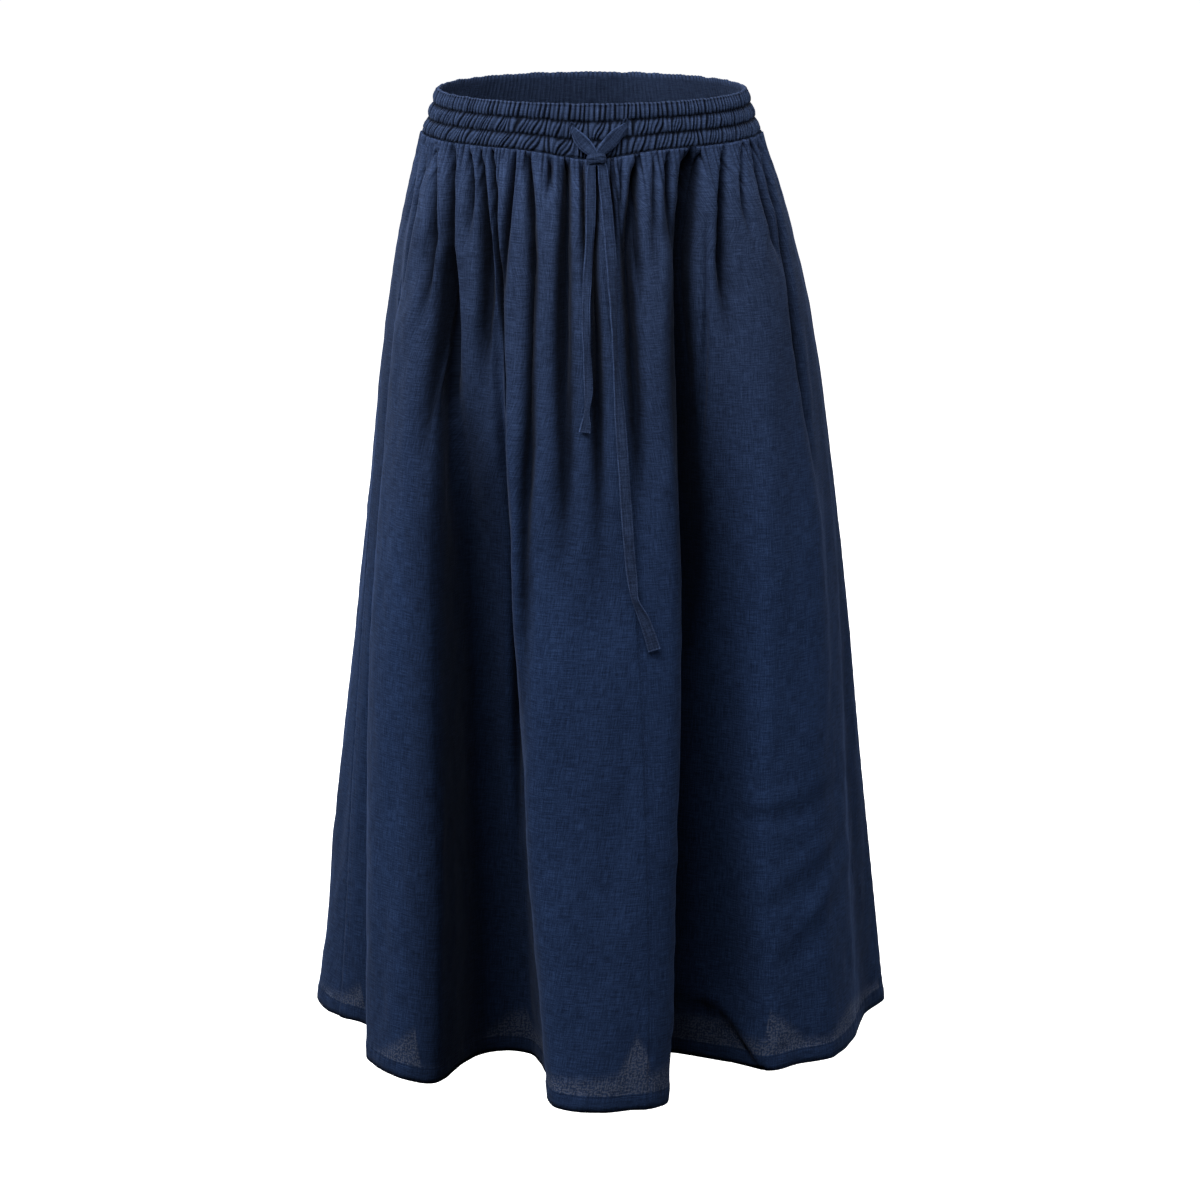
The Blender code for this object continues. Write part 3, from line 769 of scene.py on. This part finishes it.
def grid_faces(across, deep, round_across=False, round_deep=False):
    """Quads over a grid of points that may close round either way."""
    i, j = np.meshgrid(np.arange(across if round_across else across - 1),
                       np.arange(deep if round_deep else deep - 1), indexing="ij")
    after, below = (i + 1) % across, (j + 1) % deep
    corners = (i * deep + j, i * deep + below, after * deep + below, after * deep + j)
    return np.stack(corners, -1).reshape(-1, 4)


# Columns are spaced by the gathered top for this share, by the hem for the rest; a few more
# stand beside each seam
TOP_SPACING = 0.6
BESIDE_SEAM = np.array([0.0012, 0.0026, 0.0046, 0.0075])


def panel_columns(start, stop, count):
    fine = np.linspace(start, stop, 3000)
    top = along_lines(fine)[0]
    top_share = (top - top[0]) / (top[-1] - top[0])
    hem_share = (fine - start) / (stop - start)
    spacing = TOP_SPACING * top_share + (1 - TOP_SPACING) * hem_share
    place = np.interp(np.linspace(0, 1, count + 1), spacing, fine)
    close = BESIDE_SEAM * (stop - start)
    return np.unique(np.concatenate([place, start + close, stop - close]))


def panel_rows(count):
    """Rows down the skirt, closer in the gathers and at the hem."""
    at = np.linspace(0, 1, 2000)
    weight = 1.0 + 2.4 * np.exp(-at / 0.10) + 2.0 * np.exp(-((at - HEM_TOP) / 0.012) ** 2)
    total = np.concatenate([[0], np.cumsum((weight[1:] + weight[:-1]) / 2)])
    return np.interp(np.linspace(0, 1, count), total / total[-1], at)


# Heights of the panels' relief, how far from the seams it is calm and how far the hem's puckers go
SHIRRING_HIGH = 1.50 * MM
SHIRRING_SHADE = 1.15
SOFT_HIGH = 1.0 * MM
CRUMPLE_HIGH = 0.20 * MM
RIDGE_HIGH = 0.30 * MM
SEAM_DRAW = 0.55 * MM
SEAM_PUCKER = 0.22 * MM
HEM_STEP = 0.30 * MM
HEM_DRAW = 0.32 * MM
HEM_PUCKER = 0.26 * MM
HEM_WOBBLE = 0.9 * MM
CALM = 20 * MM
HEM_NEAR = 20 * MM
# Thickness of the doubled hem, and the share of it that the single layer has
HEM_THICK = 1.2 * MM
SINGLE_SHARE = 0.42


def shirring(angle, down):
    """Fine shirring under the band, which runs out at uneven lengths, and the shade in it."""
    reach = np.clip((19 + 13 * round_noise(angle, 5, 30, 90)) * MM, 6 * MM, 52 * MM)
    amount = np.clip(0.85 + 0.35 * round_noise(angle, 6, 20, 80), 0.2, 1.5) * np.exp(-(down / reach) ** 1.3)
    pleat = rib_phase(angle, 22)
    return SHIRRING_HIGH * rib_shape(pleat) * amount, SHIRRING_SHADE * rib_shade(pleat) * amount


def rumples(cloth, down, seed):
    """Long soft folds that the gathers let out, and the cloth's own crumples and ridges."""
    soft = waves(cloth, down, seed, 0.045, 0.11, 14, 7.0)
    crumple = waves(cloth, down, seed + 1, 0.014, 0.045, 26, 1.6)
    ridged = np.clip(1 - np.abs(waves(cloth, down, seed + 2, 0.03, 0.10, 10, 2.2)), -0.2, 1) ** 3
    return (SOFT_HIGH * soft * ease(down / 0.12) * (1 - 0.35 * down / DROP)
            + CRUMPLE_HIGH * crumple * ease(down / 0.05) + RIDGE_HIGH * ridged * ease(down / 0.10))


def pucker(along, pitch, drift, swing, away):
    """Uneven ripples beside stitches, which die out away from them."""
    return np.sin(math.tau * along / pitch + swing * np.sin(along / drift)) * np.exp(-away / (7 * MM))


def sewn_relief(cloth, from_end, down):
    """Seams draw the cloth in and pucker it; the hem stands out and its stitching pulls it in."""
    from_line = np.abs(down - HEM_LINE)
    total = HEM_STEP * ease((down - V_HEM_TOP + 0.6 * MM) / (1.4 * MM))
    total = total - HEM_DRAW * np.exp(-(from_line / (1.1 * MM)) ** 2)
    near_hem = ease((down - V_HEM_TOP + HEM_NEAR) / HEM_NEAR)
    total = total + HEM_PUCKER * pucker(cloth, 8.5 * MM, 23 * MM, 2.2, from_line) * near_hem
    for edge in (cloth, from_end):
        total = total - SEAM_DRAW * np.exp(-(edge / (1.3 * MM)) ** 2)
        total = total + SEAM_PUCKER * pucker(down, 13 * MM, 31 * MM, 1.7, edge) * ease(down / 0.03)
    return total


Cut = namedtuple("Cut", "name node start stop columns rows top_width hem_width seams tone seed")


def make_panel(cut, material):
    """One panel as a sheet of cloth, thicker along the turned-up hem."""
    place = panel_columns(cut.start, cut.stop, cut.columns)
    grid_place, grid_down = np.meshgrid(place, panel_rows(cut.rows), indexing="ij")
    points, angle, deep_in = skirt(grid_place, grid_down)
    down = DROP * grid_down
    steps = np.linalg.norm(np.diff(points, axis=0), axis=-1)
    arc = np.concatenate([0 * steps[:1], np.cumsum(steps, axis=0)])
    width = cut.top_width + (cut.hem_width - cut.top_width) * grid_down
    cloth = arc / arc[-1:] * width
    from_end = width - cloth
    calm = ease(cloth / CALM) * ease(from_end / CALM)

    shirred, shade = shirring(angle, down)
    creased, tucked = crease_height(*np.moveaxis(points, -1, 0))
    relief = shirred + rumples(cloth, down, cut.seed) * calm + creased + sewn_relief(cloth, from_end, down)
    points = points + grid_normals(points) * relief[..., None]
    glow = glow_reach(points[..., 0], points[..., 1], angle)
    wobble = waves(cloth, 0 * down, cut.seed + 3, 0.05, 0.16, 8)
    points[..., 2] += HEM_WOBBLE * wobble * grid_down ** 6 * calm

    uvs = {
        "Cloth": uv_grid(cloth + cut.seed * 0.731, down),
        "Edge": uv_grid(cloth, from_end),
        # painted shade in the folds, the shirring and along the tuck, and the reach of painted light above
        # the hem
        "Wear": uv_grid(np.clip(deep_in + shade + tucked, 0, 1), glow),
    }
    thing = add_mesh(cut.name, points, grid_faces(*grid_down.shape), material, uvs)
    group = thing.vertex_groups.new(name="thickness")
    doubled = (grid_down >= HEM_TOP - 1e-4).ravel()
    group.add(np.nonzero(~doubled)[0].tolist(), SINGLE_SHARE, "REPLACE")
    group.add(np.nonzero(doubled)[0].tolist(), 1.0, "REPLACE")
    shell = thing.modifiers.new("Cloth", "SOLIDIFY")
    shell.thickness = HEM_THICK
    shell.offset = 0.0
    shell.vertex_group = "thickness"
    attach(thing, "root")
    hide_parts(cut.node)


LEFT, FRONT, RIGHT = PLACE["left_side_seam"], PLACE["front_seam"], PLACE["right_side_seam"]
CUTS = [
    Cut("skirt_front_left", "front_panel_left", LEFT, FRONT, 345, 132, 0.36, 0.505,
        (("start", 1.6), ("start", 7.0), ("stop", 1.4)), 1.0, 11),
    Cut("skirt_front_right", "front_panel_right", FRONT, RIGHT, 345, 132, 0.36, 0.44,
        (("start", 1.4), ("stop", 1.6), ("stop", 7.0)), 1.0, 37),
    Cut("skirt_back", "back_panel", RIGHT, LEFT + 1, 360, 120, 0.68, 0.955,
        (("start", 1.6), ("stop", 1.6)), 0.97, 53),
]

for cut in CUTS:
    make_panel(cut, linen(cut.name + "_linen", cut.tone, True, cut.seams))

# -------- waistband
BAND_COLUMNS = RIBS * 8
# Length of the strip of cloth, and half the band's width
BAND_CLOTH = 1.08
BAND_HALF_WIDTH = 135 * MM
RIM = BAND_HEIGHT / 2
CHANNELS = 3
CHANNEL_ROWS = 10
# How far the ribs lean down each channel, degrees, and how high they are, millimetres
BAND_LEAN = (0.4, 1.9, 2.4)
RIB_HIGH = 1.40
BAND_INSIDE = -1.9 * MM
INSIDE_ROWS = 9
# The fold over the rim from the inside out: how far down the cloth in band heights, the height
# of its ribs, and how far out and up it lies, millimetres
Fold = namedtuple("Fold", "down ribs out up")
RIM_FOLD = [
    Fold(1.05, 0.28, -1.45, -0.9),
    Fold(1.03, 0.28, -0.9, -0.2),
    Fold(1.01, 0.28, -0.15, 0),
    Fold(0.005, 0.427, 0.35, -0.35),
]


def band_outside(angle):
    """The shirred channels from the rim down: rings, how far down each lies, and painted shade."""
    rings, downs, shades = [], [], []
    for row in range(1, CHANNELS * CHANNEL_ROWS + 1):
        channel = min(row // CHANNEL_ROWS, CHANNELS - 1)
        k = row - channel * CHANNEL_ROWS
        q = k / CHANNEL_ROWS
        t = (channel + q) / CHANNELS
        lobe = math.sin(math.pi * q) ** 0.62 if 0 < q < 1 else 0.0
        if channel == 0:
            lobe = max(lobe, math.cos(math.pi * q / 2) ** 0.5 * (0.75 + 0.25 * q))
        lean = BAND_LEAN[channel] * (q - 0.5) * (1 + 0.55 * round_noise(angle, 90 + channel, 12, 60))
        phase = rib_phase(angle + lean, 20 + channel)
        strength = 0.45 + 0.55 * lobe
        uneven = np.clip(0.80 + 0.30 * round_noise(angle + lean, 40 + channel, 30, 110), 0.25, 1.5)
        puff = (1.75 + 0.35 * round_noise(angle, 50 + channel, 9, 40)) * lobe - 0.95
        rib = RIB_HIGH * strength * uneven * rib_shape(phase)
        tiny = 0.16 * np.sin(2 * phase + 1.3 * round_noise(angle, 60 + channel, 9, 40)) * strength
        z = RIM - BAND_HEIGHT * t + 0.30 * MM * round_noise(angle, 70 + channel, 20, 80) * (1 - lobe)
        rings.append(around(angle, np.maximum(z, SEAM + 0.1 * MM), (puff + rib + tiny) * MM))
        downs.append(BAND_HEIGHT * t)
        # painted shade in the pinches between the channels and in the valleys between the ribs
        pinch = 1.0 if k == 0 or t == 1 else 0.42 * (k in (1, CHANNEL_ROWS - 1))
        between = rib_shade(phase, 1.0) * np.clip(uneven, 0.5, 1.2)
        shades.append(np.clip(0.95 * between + 0.50 * pinch, 0, 1))
    return rings, downs, shades


def make_band(material):
    """Three elastic channels of shirred cloth, folded over at the rim to a plain inside."""
    angle = np.arange(BAND_COLUMNS) * TURN / BAND_COLUMNS
    rings, downs, shades = [], [], []
    # rings in order: inside foot up to the rim, over it, then down the outside
    for k in range(INSIDE_ROWS, 0, -1):
        t = k / INSIDE_ROWS
        ripple = 0.25 * rib_shape(rib_phase(angle, 33)) + 0.20 * math.sin(math.pi * (3 * t % 1))
        z = RIM - 1.5 * MM - (BAND_HEIGHT - 1.7 * MM) * t
        rings.append(around(angle, z, BAND_INSIDE + ripple * MM))
        downs.append(BAND_HEIGHT * (1.1 + 0.9 * t))
        shades.append(np.full(BAND_COLUMNS, 0.25))
    phase = rib_phase(angle, 20)
    shape = rib_shape(phase)
    bumps = 0.28 * shape + 0.25 * round_noise(angle, 81, 15, 70)
    for fold in RIM_FOLD:
        rings.append(around(angle, RIM + (fold.up + bumps) * MM, (fold.out + fold.ribs * shape) * MM))
        downs.append(BAND_HEIGHT * fold.down)
        shades.append(0.6 * rib_shade(phase))
    for found, more in zip((rings, downs, shades), band_outside(angle)):
        found.extend(more)
    points = np.stack(rings, axis=1)
    across, deep = points.shape[:2]
    i = np.arange(across) * deep
    after = np.roll(i, -1)
    foot = np.stack([i + deep - 1, after + deep - 1, after, i], -1)
    faces = np.concatenate([grid_faces(across, deep, round_across=True), foot])
    uvs = {
        "Cloth": uv_grid((angle / TURN * BAND_CLOTH)[:, None], np.array(downs)),
        "Wear": uv_grid(np.stack(shades, axis=1), 0.0),
    }
    thing = add_mesh("elastic_band", points, faces, material, uvs)
    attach(thing, "root")
    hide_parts("waistband")


make_band(linen("band_linen", 0.96, band=True, slub=0.8))

# -------- drawstring
TIE_THICK = 1.3 * MM
TIE_HALF = 4.5 * MM
TIE_STEP = 1.7 * MM
TIE_POINTS = 9
# How far the ribs of the band stand out where the tie lies on them
BAND_PROUD = 2.2 * MM
Stop = namedtuple("Stop", "x z width turn off twist", defaults=(0,))
CORD_LEFT_START = [
    Stop(-15.6, 2.4, 5, 44, -1.4),
    Stop(-13.6, 0.2, 6.8, 42, 0.3, 10),
    Stop(-10, -4.2, 10.6, 38, 2, 6),
    Stop(-4.9, -9.6, 11.2, 35, 3.2),
    Stop(0.2, -14.6, 8.6, 32, 4.2),
]
CORD_RIGHT_START = [
    Stop(28.4, 5.4, 4.6, -44, -1.6),
    Stop(25.8, 3.2, 6.6, -44, 0.2),
    Stop(21.2, -1, 10.4, -43, 2, -6),
    Stop(14.8, -7.6, 11.2, -42, 3.2),
    Stop(8.8, -13.8, 8.6, -38, 4.2),
]
IN_KNOT_LEFT_TO_RIGHT = [Stop(5, -20, 6, 10, 4.6)]
IN_KNOT_RIGHT_TO_LEFT = [Stop(4, -20.2, 6, -8, 3.4)]
LEFT_TAIL = [
    Stop(0.4, -25.5, 6.6, 2, 4.4),
    Stop(-0.2, -34, 7.4, 2, 2.8, 8),
    Stop(-0.4, -50, 8.2, 1, 1.7, 4),
    Stop(-0.8, -70, 8, -1, 1.4, -8),
    Stop(-1.8, -92, 7.2, -2, 1.4, -24),
    Stop(-3.2, -112, 7.4, -3, 1.4, -8),
    Stop(-4, -132, 6.8, -2, 1.5, 20),
    Stop(-4.4, -152, 7.2, 1, 1.4, 8),
    Stop(-3.8, -170, 6.6, 2, 1.5, -22),
    Stop(-2.8, -190, 7.4, 2, 1.4, -6),
    Stop(-2.4, -204, 7, 1, 1.5, 10),
    Stop(-3.2, -215, 4.6, -2, 1.8, 24),
    Stop(-3.8, -221, 4.4, -6, 1.8, 10),
    Stop(-4.6, -229, 8, -12, 1.5, -4),
    Stop(-5.6, -236, 9.4, -12, 1.4),
]
RIGHT_TAIL = [
    Stop(8.6, -25.5, 7.4, -4, 4.4),
    Stop(9.8, -36, 8.6, -6, 2.8),
    Stop(12, -54, 9, -6, 1.7, 4),
    Stop(14.4, -78, 9, -5, 1.5, -4),
    Stop(16.2, -101, 8.6, -4, 1.5, -12),
    Stop(17.2, -124, 8, -3, 1.8, -34),
    Stop(18.2, -150, 7.4, -3, 2.2, -52),
    Stop(19.6, -176, 7.4, -4, 2.2, -54),
    Stop(21.2, -200, 7.8, -4, 1.9, -34),
    Stop(23.2, -222, 8.8, -4, 1.5, -8),
    Stop(25.2, -250, 9.2, -4, 1.4, 4),
    Stop(27.2, -280, 9, -4, 1.4, -8),
    Stop(29, -306, 9.2, -5, 1.4, 2),
    Stop(31, -332, 8.8, -6, 1.4, 10),
    Stop(33, -352, 8.6, -8, 1.5),
    Stop(35.6, -369, 6.4, -22, 2, 30),
    Stop(38, -376, 6.6, -24, 2, 12),
    Stop(43, -387, 8.8, -20, 1.5),
    Stop(48, -401, 9.8, -18, 1.4, -4),
    Stop(51.6, -413, 10.4, -17, 1.4),
]


def on_band(x, z, out):
    """A place on the front of the band, from its x and z."""
    return around(math.degrees(math.asin(x / BAND_HALF_WIDTH)), z, out)


def front_of(x, z):
    """How far forward the cloth or the band comes at a place on the front."""
    if z > SEAM:
        return float(on_band(x, z, BAND_PROUD)[1])
    down = (z - SEAM) / (HEM - SEAM)
    place = np.linspace(PLACE["left_floor_end"], PLACE["right_floor"], 900)
    row = skirt(place, down)[0]
    near = np.abs(row[:, 0] - x) < 0.8 * MM
    return float(row[near, 1].min()) - WALL / 2


def make_tie(name, stops, seed, nodes_replaced, material):
    """One run of the flat tie: out of its eyelet, through the knot and down to its free end."""
    centre = []
    for stop in stops:
        x, z, half = stop.x * MM, stop.z * MM, stop.width * MM / 2
        reach = half * math.cos(math.radians(stop.turn))
        y = min(front_of(x - reach, z), front_of(x, z), front_of(x + reach, z))
        lift = half * abs(math.sin(math.radians(stop.twist))) * 0.8
        centre.append((x, y - stop.off * MM - TIE_THICK / 2 - lift, z))
    centre = np.array(centre)
    knots = np.concatenate([[0], np.cumsum(np.linalg.norm(np.diff(centre, axis=0), axis=1))])
    count = max(40, int(knots[-1] / TIE_STEP))
    at = np.linspace(0, knots[-1], count)

    def smooth(values):
        return curve(padded(knots), padded(values), at)

    path = np.stack([smooth(centre[:, k]) for k in range(3)], -1)
    half = smooth([stop.width for stop in stops]) * MM / 2
    turn = np.radians(smooth([stop.turn for stop in stops]))
    twist = np.radians(smooth([stop.twist for stop in stops]))[:, None]
    run = unit(np.gradient(path, axis=0))
    flat = np.stack([np.cos(turn), 0 * turn, np.sin(turn)], -1)
    flat = unit(flat - run * np.sum(flat * run, axis=-1, keepdims=True))
    face = unit(np.cross(run, flat))
    face = np.where(face[:, 1:2] > 0, -face, face)
    wide = flat * np.cos(twist) + face * np.sin(twist)
    up = face * np.cos(twist) - flat * np.sin(twist)
    shares = np.linspace(-1, 1, TIE_POINTS)
    section = [(share, 1.0) for share in shares] + [(share, -1.0) for share in shares[::-1]]
    sides = len(section)
    shifts = np.random.default_rng(seed).uniform(0, math.tau, 6)
    points = np.zeros((count, sides, 3))
    for k, (share, face_side) in enumerate(section):
        edge = (1 - abs(share) ** 6) * 0.78 + 0.22
        # the two folded edges stand a little proud of the middle
        rolled = 0.20 * math.exp(-((abs(share) - 0.8) / 0.16) ** 2) * face_side
        bend = 0.30 * np.sin(at / (9 * MM) + shifts[0] + 1.6 * share) * share
        bend = bend + 0.26 * np.sin(at / (4.2 * MM) + shifts[1] - 2.1 * share)
        bend = bend + 0.22 * np.sin(at / (14 * MM) + shifts[2]) * (share ** 2 - 0.4) * 2
        lift = face_side * TIE_THICK / 2 * edge + (rolled + bend * 0.8) * MM
        points[:, k] = path + wide * (half * share)[:, None] + up * lift[:, None]
    caps = []
    for base, order in ((0, 1), ((count - 1) * sides, -1)):
        for k in range(TIE_POINTS - 1):
            quad = [base + k, base + k + 1, base + sides - 2 - k, base + sides - 1 - k]
            caps.append(quad[::order])
    faces = np.concatenate([grid_faces(count, sides, round_deep=True), np.array(caps)])
    across = np.array([share for share, _ in section]) * TIE_HALF
    along = at[:, None]
    uvs = {
        "Cloth": uv_grid(across + seed * 0.1, along),
        "Edge": uv_grid(TIE_HALF + across + 0 * along, TIE_HALF - across),
    }
    thing = add_mesh(name, points, faces, material, uvs)
    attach(thing, "root")
    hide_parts(*nodes_replaced)


Knot = namedtuple("Knot", "x z half_x half_y half_z tilt off")
KNOT = Knot(4, -20.5, 8.2, 4, 4.4, 4, 1.2)
KNOT_LEVEL = -24.0
KNOT_SIDES = 48
KNOT_LENGTH = 40
# How plump the knot is along its length, and how square across it
PLUMP = 2.6
SQUARE = 3.0


def make_knot(material):
    """The overhand knot: one turn of the tie wrapped over the strands, creased towards its ends."""
    y = front_of(KNOT.x * MM, KNOT_LEVEL * MM) - (KNOT.half_y + KNOT.off) * MM
    tilt = math.radians(KNOT.tilt)
    points = []
    for i in range(KNOT_LENGTH + 1):
        share = -math.cos(math.pi * i / KNOT_LENGTH)
        plump = max(1 - abs(share) ** PLUMP, 0.0) ** (1 / PLUMP)
        for k in range(KNOT_SIDES):
            turn = math.tau * k / KNOT_SIDES
            creases = 0.055 * math.cos(5 * turn + 2.4 * share) + 0.045 * math.sin(9 * turn - 3.1 * share)
            lap = 0.10 * math.tanh((share - 0.30 + 0.25 * math.sin(turn)) / 0.05)
            lap = lap * math.exp(-((share - 0.4) / 0.45) ** 2)
            size = plump * (1 + creases * (0.4 + abs(share)) + lap)
            box = (abs(math.cos(turn)) ** SQUARE + abs(math.sin(turn)) ** SQUARE) ** (-1 / SQUARE)
            dx = KNOT.half_x * share
            dy = KNOT.half_y * size * box * math.cos(turn)
            dz = KNOT.half_z * size * box * math.sin(turn) * (1 - 0.10 * math.cos(math.pi * share))
            points.append(((KNOT.x + dx * math.cos(tilt) - dz * math.sin(tilt)) * MM, y + dy * MM,
                           (KNOT.z + dx * math.sin(tilt) + dz * math.cos(tilt)) * MM))
    # the sides run the other way round here, so each quad is turned over
    faces = grid_faces(KNOT_LENGTH + 1, KNOT_SIDES, round_deep=True)[:, [0, 3, 2, 1]]
    uv = uv_grid(np.arange(KNOT_LENGTH + 1)[:, None] / KNOT_LENGTH * 20 * MM,
                 np.arange(KNOT_SIDES) / KNOT_SIDES * 26 * MM)
    thing = add_mesh("tie_wrap", points, faces, material, {"Cloth": uv, "Edge": uv})
    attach(thing, "root")
    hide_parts("tie_knot")
    return thing


# A buttonhole's half length, half width and thread
EYELET_LONG = 5.2 * MM
EYELET_SHORT = 1.7 * MM
EYELET_THREAD = 0.75 * MM


def make_eyelet(name, x, z, turn, material):
    """A small worked buttonhole in the band where the tie comes out."""
    rings, sides = 40, 8
    at = on_band(x * MM, z * MM, 0.4 * MM)
    lean = math.radians(turn)
    points = []
    for i in range(rings):
        a = math.tau * i / rings
        out_x, out_z = math.cos(a) / EYELET_SHORT, math.sin(a) / EYELET_LONG
        size = math.hypot(out_x, out_z)
        worked = EYELET_THREAD * (1 + 0.18 * math.cos(a * rings / 2))
        for k in range(sides):
            b = math.tau * k / sides
            dx = math.cos(a) * EYELET_SHORT + out_x / size * worked * math.cos(b)
            dz = math.sin(a) * EYELET_LONG + out_z / size * worked * math.cos(b)
            points.append((at[0] + dx * math.cos(lean) - dz * math.sin(lean), at[1] - worked * math.sin(b),
                           at[2] + dx * math.sin(lean) + dz * math.cos(lean)))
    uv = uv_grid(np.arange(rings)[:, None] * 0.4 * MM, np.arange(sides) * 0.5 * MM)
    thing = add_mesh(name, points, grid_faces(rings, sides, True, True), material, {"Cloth": uv, "Edge": uv})
    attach(thing, "root")


tie_material = linen("tie_linen", 1.12, seams=(("start", 1.6), ("stop", 1.6)), slub=0.9,
                     edge_highlights=True)
knot_piece = make_knot(tie_material)
make_tie("tie_left_to_right", CORD_LEFT_START + IN_KNOT_LEFT_TO_RIGHT + RIGHT_TAIL, 3,
         ("tie_strand_left", "tie_tail_right"), tie_material)
make_tie("tie_right_to_left", CORD_RIGHT_START + IN_KNOT_RIGHT_TO_LEFT + LEFT_TAIL, 8,
         ("tie_strand_right", "tie_tail_left"), tie_material)
eyelet_thread = linen("eyelet_thread", 0.9)
make_eyelet("eyelet_left", -15.4, 1.4, 8.0, eyelet_thread)
make_eyelet("eyelet_right", 27.8, 3.8, -8.0, eyelet_thread)
